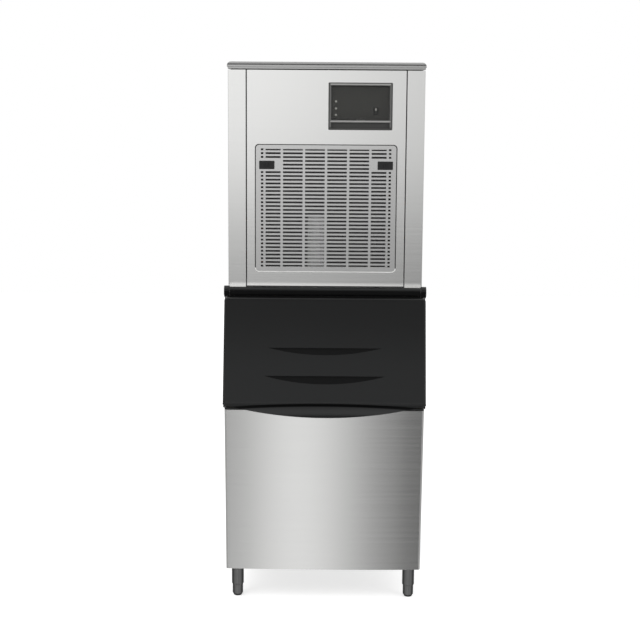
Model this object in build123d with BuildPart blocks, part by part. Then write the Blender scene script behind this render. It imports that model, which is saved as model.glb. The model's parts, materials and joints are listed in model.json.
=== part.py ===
from build123d import *
import os
from math import cos, radians, sin

os.makedirs("parts", exist_ok=True)

# Modular ice cube machine: a head that makes the ice stands on an insulated bin with a lift-up door.
# Millimetres. X runs to the right, Y to the back and Z up. The origin is on the floor, under the middle.

# Overall sizes
body_width = 560.0
head_depth = 620.0
head_floor = 904.0
head_height = 641.0
bin_underside = 98.0
rear_reach = 22.0

# Sheet metal, seams and clearances
sheet = 1.2
seam = 0.8
panel_seam = 2.4
seat_gap = 0.3
shaft_gap = 0.05
bend_radius = 1.0

# Door and its hinge
door_lean = 15.8
hinge_ahead = 112.0
hinge_rise = 1.0
door_overhang = 4.5
door_thickness = 24.0
door_top_drop = 17.0
door_bottom_drop = 320.0
door_edge_radius = 8.0
door_corner_radius = 9.0
door_pocket_depth = 10.0
barrel_radius = 12.5
ear_width = 15.0
ear_radius = 15.5
ear_gap = 0.8
neck_back = 14.0
neck_front = 4.0
hinge_pin_radius = 4.0
hinge_pin_bite = 24.0
lip_drop = 37.0
lip_out = 24.0
lip_root = 16.0
lip_groove = 4.0
lip_thickness = 6.0
lip_heel = 9.0
lip_underside = 21.0
lip_bow_out = 6.0
lip_bow_drop = 21.0
scoop_depth = 8.5
scoop_step = 4.5
upper_scoop_drop = 160.0
upper_scoop_width = 320.0
upper_scoop_height = 20.0
lower_scoop_drop = 239.0
lower_scoop_width = 342.0
lower_scoop_height = 23.0

# Bin
foam = 40.0
liner_wall = 3.0
deck_height = 20.0
front_foot_ahead = 135.6
front_top_ahead = 190.0
front_panel_fall = 325.0
front_bow = 6.0
front_corner_radius = 6.0
front_return = 12.0
front_void = 9.0
collar_thickness = 12.0
collar_top_rise = 8.0
sill_height = 6.0
mouth_top_drop = 35.0
mouth_bottom_drop = 262.0
gasket_height = 3.0
gasket_width = 10.0
gasket_inset = 4.0
baffle_thickness = 3.0
baffle_hang = 95.0
baffle_back = 26.0
baffle_side_gap = 8.0
bin_drain_radius = 13.2
bin_drain_bore = 9.5
neck_step = 1.5
drain_flange = 8.0
mouth_radius = 12.0

# Legs and levelling feet
leg_side = 250.0
front_leg_ahead = 81.0
rear_leg_inset = 60.0
leg_radius = 17.5
leg_wall = 2.5
leg_plate = 56.0
leg_plate_thickness = 3.0
leg_corner = 6.0
leg_plug = 15.0
foot_neck = 1.5
foot_radius = 15.3
foot_height = 36.0
foot_tip_radius = 11.0
foot_tip_height = 8.0
foot_stem_radius = 8.0
foot_travel = 20.0
foot_grip = 26.0
leg_bore_gap = 0.1

# Ice way between the head and the bin
drop_side_gap = 75.0
drop_front_gap = 16.0
drop_depth = 140.0
drop_rim = 6.0
drop_rim_flange = 10.0
drop_rim_hang = 3.0
pan_wall = 25.0
pan_rim = 10.0

# Head casing
seam_x = 228.0
strip_flange = 14.0
cap_height = 22.0
cap_step = 7.0
cap_overhang = 2.5
cap_lower_overhang = 0.6
cap_edge_radius = 11.0
joggle_inset = 6.0
panel_lift = 2.0
back_flange = 12.0
louvre_count = 14
louvre_pitch = 20.0
louvre_length = 120.0
louvre_height = 7.0
louvre_top_fall = 105.0
louvre_back_of_front = 300.0

# Grille, latches and filter
grille_width = 406.0
grille_bottom_rise = 42.5
grille_top_rise = 409.0
grille_radius = 11.0
grille_inset = 3.0
grille_thickness = 3.0
grille_gap = 1.0
grille_edge = 1.0
grille_flange = 6.0
slot_columns = 6
slot_rows = 32
column_pitch = 63.3
row_pitch = 10.79
top_row_rise = 394.3
slot_width = 56.0
slot_height = 5.0
pad_first_row = 3
pad_last_row = 5
latch_x = 169.5
latch_rise = 350.0
latch_width = 44.0
latch_height = 24.0
latch_plate = 2.6
latch_stem_width = 16.0
latch_stem_height = 9.0
latch_travel = 6.0
latch_tongue_height = 14.0
latch_tongue = 2.0
latch_tongue_reach = 209.0
latch_grip_ribs = 3
latch_rib_pitch = 6.0
latch_corner = 2.0
latch_edge = 0.8
filter_width = 360.0
filter_bottom_rise = 51.0
filter_top_rise = 402.0
filter_bar = 7.0
filter_depth = 10.0
filter_mesh_thickness = 1.5
filter_notch = 4.0

# Control unit
control_left = 5.5
control_right = 188.0
control_bottom_fall = 190.5
control_top_fall = 57.0
bezel_proud = 3.0
bezel_border = 8.0
bezel_depth = 26.0
bezel_overlap = 3.0
bezel_radius = 3.0
ledge_bottom_fall = 170.0
ledge_top_fall = 162.0
strip_recess = 6.0
cover_thickness = 2.5
cover_inset = 2.0
cover_barrel_radius = 3.0
cover_pin_radius = 1.5
cover_pin_length = 3.0
cover_side_gap = 0.4
cover_notch_width = 26.0
cover_notch_height = 7.0
plate_depth = 14.0
plate_thickness = 3.0
lens_radius = 3.0
lens_x = 27.0
lens_falls = (110.0, 130.0, 148.0)
lens_proud = 2.0
switch_x = 141.0
switch_fall = 137.0
rocker_radius = 11.0
rocker_width = 14.0
rocker_valley = 12.0
rocker_tilt = 10.0

# Air-cooled condenser, fan and compressor
condenser_width = 360.0
condenser_bottom_rise = 36.0
condenser_top_rise = 408.0
condenser_ahead = 75.0
condenser_thickness = 56.0
end_plate = 3.0
fin_count = 30
fin_gap_share = 0.55
fin_groove = 6.0
tube_radius = 4.5
tube_rows = 7
tube_pitch = 50.0
tube_bend = 25.0
shroud_thickness = 8.0
shroud_ring = 34.0
fan_radius = 138.0
fan_clearance = 7.0
fan_rise = 222.0
fan_hub_radius = 32.0
fan_hub_length = 24.0
fan_blades = 5
blade_width = 62.0
blade_thickness = 2.5
blade_pitch = 28.0
fan_bore_radius = 5.0
shroud_to_fan = 10.0
motor_radius = 42.0
motor_length = 62.0
motor_rounding = 8.0
fan_cap = 4.0
motor_arm_width = 14.0
motor_arm_thickness = 3.0
motor_arm_reach = 147.0
compressor_x = 160.0
compressor_y = 72.0
compressor_radius = 82.0
compressor_height = 190.0
compressor_dome = 34.0
compressor_plate = 4.0
grommet_radius = 12.0
grommet_height = 18.0
grommet_spread_x = 150.0
grommet_spread_y = 110.0
receiver_x = -28.0
receiver_behind_front = 46.0
receiver_radius = 24.0
receiver_height = 204.0
receiver_dome = 14.0
drier_radius = 14.0
drier_length = 110.0
drier_clip = 4.0
drier_x = 60.0
drier_rise = 426.0
gas_valve_x = 190.0
gas_valve_rise = 426.0
gas_valve_body = 26.0
gas_valve_coil = 38.0
electrical_y = -20.0
electrical_depth = 150.0
electrical_width = 60.0
electrical_bottom_rise = 236.0
electrical_height = 260.0
electrical_radius = 5.0

# Wet side behind the divider
divider_behind_front = 378.0
divider_thickness = 4.0
evaporator_inset = 30.0
evaporator_thickness = 25.0
evaporator_bottom_rise = 96.0
cell_pitch = 32.0
cell_size = 28.0
cell_depth = 20.0
cell_columns = 11
cell_rows = 9
evaporator_border = 8.0
bracket_thickness = 3.0
bracket_height = 60.0
distributor_radius = 11.0
distributor_bore = 9.0
distributor_overhang = 16.0
distributor_hole = 1.5
curtain_gap = 10.0
curtain_thickness = 3.0
curtain_barrel = 5.0
curtain_hang = 2.0
curtain_pin = 3.0
curtain_ear = 14.0
trough_bottom_rise = 28.0
trough_height = 50.0
trough_front_ahead = 12.0
trough_wall = 3.0
trough_half = 262.0
pump_x = -234.0
pump_radius = 26.0
pump_can_height = 64.0
pump_plate = 3.0
pump_stem_radius = 12.0
pump_stem_depth = 34.0
riser_radius = 8.0
riser_bore = 6.0
riser_bend = 9.0
riser_knee_rise = 386.0
float_x = 236.0
float_stem_radius = 4.0
float_radius = 13.0
float_height = 18.0
float_bore_gap = 0.1
float_stop_radius = 6.0
float_stop_height = 3.0
float_stop_lift = 1.0
inlet_x = 180.0
inlet_fall = 125.0
inlet_radius = 13.2
inlet_bore = 8.0
valve_body = 34.0
valve_depth = 40.0
valve_coil_radius = 15.0
valve_coil_height = 34.0
head_drain_x = -150.0
head_drain_rise = 41.0
head_drain_radius = 10.0
head_drain_bore = 7.0
drain_reach = 20.0
gland_x = -190.0
gland_rise = 136.0
gland_radius = 9.0
gland_nut_radius = 14.0
gland_nut_length = 8.0
gland_bore = 5.0
probe_radius = 3.0
probe_hang = 120.0
probe_clip = 16.0

# Places worked out from the sizes above
total_height = head_floor + head_height
grille_bottom = head_floor + grille_bottom_rise
grille_top = head_floor + grille_top_rise
top_row = head_floor + top_row_rise
latch_z = head_floor + latch_rise
filter_bottom = head_floor + filter_bottom_rise
filter_top = head_floor + filter_top_rise
condenser_bottom = head_floor + condenser_bottom_rise
condenser_top = head_floor + condenser_top_rise
fan_height = head_floor + fan_rise
electrical_bottom = head_floor + electrical_bottom_rise
evaporator_bottom = head_floor + evaporator_bottom_rise
trough_bottom = head_floor + trough_bottom_rise
riser_knee_z = head_floor + riser_knee_rise
head_drain_z = head_floor + head_drain_rise
gland_z = head_floor + gland_rise
drier_z = head_floor + drier_rise
gas_valve_z = head_floor + gas_valve_rise
hinge_height = head_floor + hinge_rise
control_bottom = total_height - control_bottom_fall
control_top = total_height - control_top_fall
ledge_bottom = total_height - ledge_bottom_fall
ledge_top = total_height - ledge_top_fall
switch_z = total_height - switch_fall
inlet_z = total_height - inlet_fall
louvre_top = total_height - louvre_top_fall
lens_z = [total_height - fall for fall in lens_falls]
front_panel_top = hinge_height - front_panel_fall
lean = radians(door_lean)
lip_tip_drop = door_bottom_drop + lip_drop
lip_reach = hinge_ahead + lip_out * cos(lean) + lip_tip_drop * sin(lean)
half_width = body_width / 2
door_half = half_width + door_overhang
half_depth = (lip_reach + head_depth + rear_reach) / 2
head_front = lip_reach - half_depth
back_face = half_depth - rear_reach
hinge_y = head_front - hinge_ahead
deck_floor = head_floor - deck_height
panel_top = total_height - cap_height - seam
collar_face = -door_thickness - seat_gap - gasket_height
mouth_face = collar_face - collar_thickness
inner_half = half_width - sheet
liner_half = inner_half - foam
cavity_half = liner_half - liner_wall
divider_face = head_front + divider_behind_front
wet_front = divider_face + divider_thickness
drop_front = wet_front + drop_front_gap
drop_back = drop_front + drop_depth
drop_half = half_width - drop_side_gap
pan_floor = head_floor + sheet
inner_back = back_face - sheet
grille_face = head_front + grille_inset
grille_back = grille_face + grille_thickness
grille_middle = (grille_bottom + grille_top) / 2
grille_height = grille_top - grille_bottom
liner_floor = bin_underside + sheet + foam
liner_back = inner_back - foam
cavity_back = liner_back - liner_wall
liner_front_gap = front_void + foam
drain_neck = bin_drain_radius - neck_step
bin_drain_z = liner_floor + liner_wall + bin_drain_radius + drain_flange


def front_line(height):
    """Y of the bin's leaning front at a height."""
    foot = head_front - front_foot_ahead
    top = head_front - front_top_ahead
    return foot + (top - foot) * (height - bin_underside) / (front_panel_top - bin_underside)


def door_point(out, down):
    """Y and Z of a point out from the door's face and down from its hinge axis."""
    return (
        hinge_y - out * cos(lean) - down * sin(lean),
        hinge_height + out * sin(lean) - down * cos(lean),
    )


def mouth_at(height, out=mouth_face):
    """Y and Z where a plane parallel to the door's face passes a height."""
    down = (hinge_height + out * sin(lean) - height) / cos(lean)
    return door_point(out, down)


def wall_at(depth):
    """A plane that faces the front at a depth. Its own X is X and its own Y is Z."""
    return Plane.XZ.offset(-depth)


def block(x, y, z, mode=Mode.ADD):
    """A box between pairs of X, Y and Z, added to the part being built or cut from it."""
    with Locations(((x[0] + x[1]) / 2, (y[0] + y[1]) / 2, (z[0] + z[1]) / 2)):
        Box(x[1] - x[0], y[1] - y[0], z[1] - z[0], mode=mode)


def between(first, second):
    """The same two numbers with the lower one first."""
    return (min(first, second), max(first, second))


def side_profile(points, half, mode=Mode.ADD):
    """A side view outline of Y and Z points, carried to both sides of the middle."""
    with BuildSketch(Plane.YZ) as outline:
        with BuildLine():
            Polyline(*points, close=True)
        make_face()
    extrude(outline.sketch, amount=half, both=True, mode=mode)


def rod(start, direction, radius, length, mode=Mode.ADD):
    """A round bar or bore from a point along a direction."""
    with BuildSketch(Plane(origin=start, z_dir=direction)) as section:
        Circle(radius)
    extrude(section.sketch, amount=length, mode=mode)


def bowed_outline(half, front, back, radius):
    """A plan outline with a bowed front edge and rounded front corners."""
    with BuildLine() as edge:
        Line((-half, back), (-half, front + radius))
        CenterArc((-half + radius, front + radius), radius, 180, 90)
        ThreePointArc((-half + radius, front), (0, front - front_bow), (half - radius, front))
        CenterArc((half - radius, front + radius), radius, 270, 90)
        Line((half, front + radius), (half, back))
        Line((half, back), (-half, back))
    make_face(edge.edges())


def bin_core(bottom, back, front_gap):
    """Side view outline of the insulation or the liner, up to the mouth and the deck."""
    low = front_line(bottom) + front_gap
    high = front_line(front_panel_top) + front_gap
    points = [(back, bottom), (low, bottom)]
    mouth_y = mouth_at(front_panel_top)[0]
    if high < mouth_y:
        points += [(high, front_panel_top), (mouth_y, front_panel_top)]
    else:
        front_slope = (high - low) / (front_panel_top - bottom)
        mouth_slope = (mouth_at(deck_floor)[0] - mouth_y) / (deck_floor - front_panel_top)
        climb = (high - mouth_y) / (mouth_slope - front_slope)
        points += [mouth_at(front_panel_top + climb)]
    return points + [mouth_at(deck_floor), (back, deck_floor)]


door_face = Plane(
    origin=(0, hinge_y, hinge_height),
    x_dir=(1, 0, 0),
    z_dir=(0, -cos(lean), sin(lean)),
)
door_section = Plane(
    origin=(0, hinge_y, hinge_height),
    x_dir=(0, -cos(lean), sin(lean)),
    z_dir=(1, 0, 0),
)
to_back = (0, 1, 0)
to_front = (0, -1, 0)
upward = (0, 0, 1)
downward = (0, 0, -1)
rightward = (1, 0, 0)

# Bin: folded outer skin, insulation and a moulded liner
with BuildPart() as bin_shell:
    side_profile(
        [
            (back_face, bin_underside),
            (front_line(bin_underside) + front_return + seam, bin_underside),
            (front_line(front_panel_top) + front_return + seam, front_panel_top),
            mouth_at(front_panel_top),
            mouth_at(deck_floor),
            (back_face, deck_floor),
        ],
        half_width,
    )
    block(
        (-inner_half, inner_half),
        (-2 * half_depth, inner_back),
        (bin_underside + sheet, total_height),
        Mode.SUBTRACT,
    )
    rod((0, back_face, bin_drain_z), to_front, drain_neck + seat_gap, 2 * sheet, Mode.SUBTRACT)
bin_shell.part.label = "bin_shell"
export_step(bin_shell.part, "parts/bin_shell.step")

with BuildPart() as bin_foam:
    side_profile(bin_core(bin_underside + sheet, inner_back, front_void), inner_half)
    side_profile(bin_core(liner_floor, liner_back, liner_front_gap), liner_half, Mode.SUBTRACT)
    rod((0, back_face, bin_drain_z), to_front, drain_neck + seat_gap, 2 * foam, Mode.SUBTRACT)
bin_foam.part.label = "bin_foam"
export_step(bin_foam.part, "parts/bin_foam.step")

with BuildPart() as bin_liner:
    side_profile(bin_core(liner_floor, liner_back, liner_front_gap), liner_half)
    side_profile(
        bin_core(liner_floor + liner_wall, cavity_back, liner_front_gap + liner_wall),
        cavity_half,
        Mode.SUBTRACT,
    )
    rod((0, back_face, bin_drain_z), to_front, drain_neck + seat_gap, 2 * foam, Mode.SUBTRACT)
bin_liner.part.label = "bin_liner"
export_step(bin_liner.part, "parts/bin_liner.step")

with BuildPart() as bin_drain_fitting:
    drain_inside = cavity_back - seat_gap
    rod(
        (0, drain_inside, bin_drain_z),
        to_back,
        drain_neck,
        back_face + drain_reach - drain_inside,
    )
    rod(
        (0, back_face + seat_gap, bin_drain_z),
        to_back,
        bin_drain_radius,
        drain_reach - seat_gap,
    )
    rod(
        (0, drain_inside - liner_wall, bin_drain_z),
        to_back,
        bin_drain_radius + drain_flange,
        liner_wall,
    )
    rod(
        (0, drain_inside - 2 * liner_wall, bin_drain_z),
        to_back,
        bin_drain_bore,
        2 * foam + 2 * drain_reach,
        Mode.SUBTRACT,
    )
bin_drain_fitting.part.label = "bin_drain_fitting"
export_step(bin_drain_fitting.part, "parts/bin_drain_fitting.step")

# Lower front: one sheet, bowed across, with its side edges folded back
front_plane = Plane(
    origin=(0, front_line(bin_underside), bin_underside),
    x_dir=(1, 0, 0),
    z_dir=(0, front_foot_ahead - front_top_ahead, front_panel_top - bin_underside),
)
with BuildPart() as bin_front_panel:
    with BuildSketch(front_plane.offset(-bin_underside)):
        bowed_outline(half_width, 0, front_return, front_corner_radius)
    extrude(amount=head_floor)
    with BuildSketch(front_plane.offset(-bin_underside)):
        bowed_outline(inner_half, sheet, 2 * front_return, front_corner_radius - sheet)
    extrude(amount=head_floor, mode=Mode.SUBTRACT)
    split(bisect_by=Plane.XY.offset(bin_underside), keep=Keep.TOP)
    split(bisect_by=Plane.XY.offset(front_panel_top), keep=Keep.BOTTOM)
    with BuildSketch(Plane.XY.offset(bin_underside)):
        bowed_outline(
            inner_half,
            front_line(bin_underside) + sheet / 2,
            front_line(bin_underside) + front_return,
            front_corner_radius - sheet,
        )
    extrude(amount=sheet)
bin_front_panel.part.label = "bin_front_panel"
export_step(bin_front_panel.part, "parts/bin_front_panel.step")

# Collar round the mouth, with the sill below it and an ear for the door at each end
collar_foot = (hinge_height + mouth_face * sin(lean) - front_panel_top) / cos(lean)
collar_middle = (collar_foot - collar_top_rise) / 2
mouth_middle = (mouth_top_drop + mouth_bottom_drop) / 2
mouth_length = mouth_bottom_drop - mouth_top_drop
with BuildPart() as door_frame:
    with BuildSketch(door_face.offset(mouth_face)):
        with Locations((0, -collar_middle)):
            Rectangle(2 * door_half, collar_foot + collar_top_rise)
        with Locations((0, -mouth_middle)):
            RectangleRounded(2 * cavity_half, mouth_length, mouth_radius, mode=Mode.SUBTRACT)
    extrude(amount=collar_thickness)
    with BuildSketch(Plane.XY.offset(front_panel_top)):
        bowed_outline(
            half_width,
            front_line(front_panel_top),
            mouth_at(front_panel_top)[0],
            front_corner_radius,
        )
    extrude(amount=sill_height)
    for side in (-1, 1):
        with BuildSketch(door_section.offset(side * (door_half - ear_width / 2))):
            Circle(ear_radius)
            with Locations((mouth_face / 2, 0)):
                Rectangle(-mouth_face, 2 * ear_radius)
            Circle(hinge_pin_radius + shaft_gap, mode=Mode.SUBTRACT)
        extrude(amount=ear_width / 2, both=True)
door_frame.part.label = "door_frame"
export_step(door_frame.part, "parts/door_frame.step")

with BuildPart() as door_gasket:
    with BuildSketch(door_face.offset(collar_face)):
        with Locations((0, -mouth_middle)):
            RectangleRounded(
                2 * (cavity_half + gasket_inset + gasket_width),
                mouth_length + 2 * (gasket_inset + gasket_width),
                mouth_radius + gasket_inset + gasket_width,
            )
            RectangleRounded(
                2 * (cavity_half + gasket_inset),
                mouth_length + 2 * gasket_inset,
                mouth_radius + gasket_inset,
                mode=Mode.SUBTRACT,
            )
    extrude(amount=gasket_height)
door_gasket.part.label = "door_gasket"
export_step(door_gasket.part, "parts/door_gasket.step")

with BuildPart() as door_hinge_pins:
    pin_inner = door_half - ear_width - ear_gap - hinge_pin_bite
    for side in (-1, 1):
        rod(
            (side * pin_inner, hinge_y, hinge_height),
            (side, 0, 0),
            hinge_pin_radius,
            door_half - pin_inner,
        )
door_hinge_pins.part.label = "door_hinge_pins"
export_step(door_hinge_pins.part, "parts/door_hinge_pins.step")


# Door: a thick moulded slab with two finger scoops, a hinge barrel and a bowed grip along its foot
def scoop_cutter(drop, width, height):
    """A shallow cut with a straight deep top edge that rises to a step along its bowed lower edge."""
    reach = ((width / 2) ** 2 + height**2) / (2 * height)
    centre = door_face.from_local_coords((0, reach - drop - height, 0))
    section = Plane(origin=centre, x_dir=door_section.y_dir, z_dir=(-1, 0, 0))
    with BuildPart() as cutter:
        with BuildSketch(section):
            with BuildLine():
                Polyline(
                    (reach, scoop_depth),
                    (reach, -scoop_step),
                    (reach - height, -scoop_depth),
                    (reach - 2 * height, -scoop_depth),
                    (reach - 2 * height, scoop_depth),
                    close=True,
                )
            make_face()
        revolve(axis=Axis(centre, door_face.z_dir), revolution_arc=360)
        with BuildSketch(door_face):
            with Locations((0, -drop - height)):
                Rectangle(width + 2 * height, 2 * height)
        extrude(amount=2 * scoop_depth, both=True, mode=Mode.INTERSECT)
    return cutter.part


with BuildPart() as grip:
    with BuildSketch(door_section):
        with BuildLine():
            Polyline(
                (-lip_groove, door_bottom_drop),
                (-lip_groove, door_bottom_drop - lip_thickness),
                (-lip_root, door_bottom_drop - lip_thickness),
                (-lip_root, door_bottom_drop),
                (-lip_groove, door_bottom_drop + lip_heel),
                (-lip_groove, door_bottom_drop + lip_underside),
                (lip_out - lip_thickness, lip_tip_drop + lip_thickness),
                (lip_out, lip_tip_drop + lip_thickness),
                (lip_out, lip_tip_drop),
            )
            ThreePointArc(
                (lip_out, lip_tip_drop),
                (lip_bow_out, door_bottom_drop + lip_bow_drop),
                (-lip_groove, door_bottom_drop),
            )
        make_face()
    extrude(amount=door_half, both=True)
    with BuildSketch(door_face):
        with BuildLine():
            ThreePointArc(
                (-door_half, -door_bottom_drop),
                (0, -door_bottom_drop - lip_drop),
                (door_half, -door_bottom_drop),
            )
            Polyline(
                (door_half, -door_bottom_drop),
                (door_half, -door_top_drop),
                (-door_half, -door_top_drop),
                (-door_half, -door_bottom_drop),
            )
        make_face()
    extrude(amount=2 * lip_out, both=True, mode=Mode.INTERSECT)

upper_scoop = scoop_cutter(upper_scoop_drop, upper_scoop_width, upper_scoop_height)
lower_scoop = scoop_cutter(lower_scoop_drop, lower_scoop_width, lower_scoop_height)
door_length = door_bottom_drop - door_top_drop
door_middle = (door_bottom_drop + door_top_drop) / 2
barrel_half = door_half - ear_width - ear_gap

with BuildPart() as door:
    with BuildSketch(door_face):
        with Locations((0, -door_middle)):
            RectangleRounded(2 * door_half, door_length, door_corner_radius)
    extrude(amount=-door_thickness)
    fillet(door.faces().sort_by(Axis((0, 0, 0), door_face.z_dir))[-1].edges(), door_edge_radius)
    with BuildSketch(door_face.offset(-door_thickness)):
        with Locations((0, -mouth_middle)):
            RectangleRounded(2 * cavity_half, mouth_length, mouth_radius)
    extrude(amount=door_pocket_depth, mode=Mode.SUBTRACT)
    with BuildSketch(door_section):
        with Locations(((-neck_back - neck_front) / 2, door_top_drop / 2 + neck_front)):
            Rectangle(neck_back - neck_front, door_top_drop)
        Circle(barrel_radius)
    extrude(amount=barrel_half, both=True)
    add(grip.part)
    add(upper_scoop, mode=Mode.SUBTRACT)
    add(lower_scoop, mode=Mode.SUBTRACT)
    for side in (-1, 1):
        rod(
            (side * (barrel_half + seam), hinge_y, hinge_height),
            (-side, 0, 0),
            hinge_pin_radius + shaft_gap,
            hinge_pin_bite + 2 * seam,
            Mode.SUBTRACT,
        )
door.part.label = "door"
export_step(door.part, "parts/door.step")

# Top deck of the bin, with the way for the ice and its trim ring
with BuildPart() as top_deck:
    side_profile(
        [
            mouth_at(deck_floor),
            mouth_at(head_floor),
            (back_face, head_floor),
            (back_face, deck_floor),
        ],
        half_width,
    )
    block(
        (-drop_half - drop_rim, drop_half + drop_rim),
        (drop_front - drop_rim, drop_back + drop_rim),
        (deck_floor - sheet, head_floor + sheet),
        Mode.SUBTRACT,
    )
top_deck.part.label = "top_deck"
export_step(top_deck.part, "parts/top_deck.step")

with BuildPart() as drop_ring:
    ring_middle = (drop_front + drop_back) / 2
    with BuildSketch(Plane.XY.offset(deck_floor)):
        with Locations((0, ring_middle)):
            Rectangle(
                2 * drop_half + 2 * (drop_rim - seat_gap),
                drop_depth + 2 * (drop_rim - seat_gap),
            )
    extrude(amount=deck_height)
    with BuildSketch(Plane.XY.offset(deck_floor)):
        with Locations((0, ring_middle)):
            RectangleRounded(
                2 * drop_half + 2 * drop_rim_flange,
                drop_depth + 2 * drop_rim_flange,
                drop_rim_flange / 2,
            )
    extrude(amount=-drop_rim_hang)
    with BuildSketch(Plane.XY.offset(head_floor)):
        with Locations((0, ring_middle)):
            Rectangle(2 * drop_half, drop_depth)
    extrude(amount=-2 * deck_height, mode=Mode.SUBTRACT)
drop_ring.part.label = "drop_ring"
export_step(drop_ring.part, "parts/drop_ring.step")

# Plate that hangs behind the mouth and keeps ice off the door
with BuildPart() as ice_baffle:
    baffle_face = mouth_face - baffle_back
    baffle_low = deck_floor - baffle_hang
    side_profile(
        [
            mouth_at(deck_floor, baffle_face),
            mouth_at(baffle_low, baffle_face),
            mouth_at(baffle_low, baffle_face - baffle_thickness),
            mouth_at(deck_floor, baffle_face - baffle_thickness),
        ],
        cavity_half - baffle_side_gap,
    )
ice_baffle.part.label = "ice_baffle"
export_step(ice_baffle.part, "parts/ice_baffle.step")

# Level probe: a bulb in a clip under the deck
with BuildPart() as level_probe:
    probe_x = cavity_half - probe_clip
    probe_y = drop_back + drop_rim_flange + probe_clip
    with BuildSketch(Plane.XY.offset(deck_floor)):
        with Locations((probe_x, probe_y)):
            RectangleRounded(probe_clip, probe_clip, probe_radius)
    extrude(amount=-probe_clip / 2)
    rod((probe_x, probe_y, deck_floor - probe_clip / 4), downward, probe_radius, probe_hang)
level_probe.part.label = "level_probe"
export_step(level_probe.part, "parts/level_probe.step")

# Four legs, each a tube with a top plate and a bored foot plug, and four levelling feet
leg_places = (
    ("front_left", -leg_side, head_front - front_leg_ahead),
    ("front_right", leg_side, head_front - front_leg_ahead),
    ("rear_left", -leg_side, back_face - rear_leg_inset),
    ("rear_right", leg_side, back_face - rear_leg_inset),
)
for leg_name, leg_x, leg_y in leg_places:
    with BuildPart() as leg:
        with BuildSketch(Plane.XY.offset(bin_underside - leg_plate_thickness)):
            with Locations((leg_x, leg_y)):
                RectangleRounded(leg_plate, leg_plate, leg_corner)
        extrude(amount=leg_plate_thickness)
        leg_foot = foot_height + seat_gap
        rod((leg_x, leg_y, leg_foot), upward, leg_radius, bin_underside - leg_foot)
        rod(
            (leg_x, leg_y, leg_foot + leg_plug),
            upward,
            leg_radius - leg_wall,
            bin_underside - leg_foot - leg_plug - leg_plate_thickness,
            Mode.SUBTRACT,
        )
        rod(
            (leg_x, leg_y, 0),
            upward,
            foot_stem_radius + leg_bore_gap,
            leg_foot + 2 * leg_plug,
            Mode.SUBTRACT,
        )
    leg.part.label = f"leg_{leg_name}"
    export_step(leg.part, f"parts/leg_{leg_name}.step")

    with BuildPart() as foot:
        with BuildSketch(Plane.XZ.offset(-leg_y)):
            with BuildLine():
                Polyline(
                    (leg_x, 0),
                    (leg_x + foot_tip_radius, 0),
                    (leg_x + foot_radius, foot_tip_height),
                    (leg_x + foot_radius, foot_height - foot_neck),
                    (leg_x + foot_radius - foot_neck, foot_height),
                    (leg_x + foot_stem_radius, foot_height),
                    (leg_x + foot_stem_radius, foot_height + foot_grip + foot_travel),
                    (leg_x, foot_height + foot_grip + foot_travel),
                    close=True,
                )
            make_face()
        revolve(axis=Axis((leg_x, leg_y, 0), upward), revolution_arc=360)
    foot.part.label = f"foot_{leg_name}"
    export_step(foot.part, f"parts/foot_{leg_name}.step")

# Head casing
with BuildPart() as base_pan:
    pan_front = head_front + strip_flange + seat_gap
    pan_half = inner_half - seat_gap
    block(
        (-pan_half, pan_half),
        (pan_front, inner_back - seat_gap),
        (head_floor, head_floor + pan_wall),
    )
    block(
        (-pan_half + sheet, pan_half - sheet),
        (pan_front + sheet, inner_back - seat_gap - sheet),
        (pan_floor, total_height),
        Mode.SUBTRACT,
    )
    block(
        (-drop_half - sheet, drop_half + sheet),
        (drop_front - sheet, drop_back + sheet),
        (head_floor, head_floor + pan_rim),
    )
    block(
        (-drop_half, drop_half),
        (drop_front, drop_back),
        (head_floor - sheet, total_height),
        Mode.SUBTRACT,
    )
base_pan.part.label = "base_pan"
export_step(base_pan.part, "parts/base_pan.step")

for side, side_name in ((-1, "left"), (1, "right")):
    with BuildPart() as side_panel:
        strip_edge = seam_x + panel_seam / 2
        with BuildSketch(Plane.XY.offset(head_floor)):
            with BuildLine():
                Polyline(
                    (side * half_width, head_front),
                    (side * half_width, back_face),
                    (side * inner_half, back_face),
                    (side * inner_half, head_front + sheet),
                    (side * (strip_edge + sheet), head_front + sheet),
                    (side * (strip_edge + sheet), head_front + strip_flange),
                    (side * strip_edge, head_front + strip_flange),
                    (side * strip_edge, head_front),
                    close=True,
                )
            make_face()
        extrude(amount=panel_top - head_floor)
        front_edges = side_panel.edges().filter_by(Axis.Z).group_by(Axis.Y)[0]
        fillet(front_edges, bend_radius)
        block(
            between(side * inner_half, side * (inner_half - joggle_inset)),
            (head_front + strip_flange, inner_back - back_flange - joggle_inset),
            (panel_top - sheet, panel_top),
        )
        block(
            between(side * (inner_half - joggle_inset + sheet), side * (inner_half - joggle_inset)),
            (head_front + strip_flange, inner_back - back_flange - joggle_inset),
            (panel_top - sheet, total_height - cap_edge_radius - seat_gap),
        )
        louvre_wall = Plane(
            origin=(side * half_width, head_front + louvre_back_of_front, 0),
            x_dir=(0, 1, 0),
            z_dir=(1, 0, 0),
        )
        with BuildSketch(louvre_wall):
            for row in range(louvre_count):
                with Locations((0, louvre_top - row * louvre_pitch)):
                    SlotOverall(louvre_length, louvre_height)
        extrude(amount=2 * sheet, both=True, mode=Mode.SUBTRACT)
    side_panel.part.label = f"side_panel_{side_name}"
    export_step(side_panel.part, f"parts/side_panel_{side_name}.step")

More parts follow.
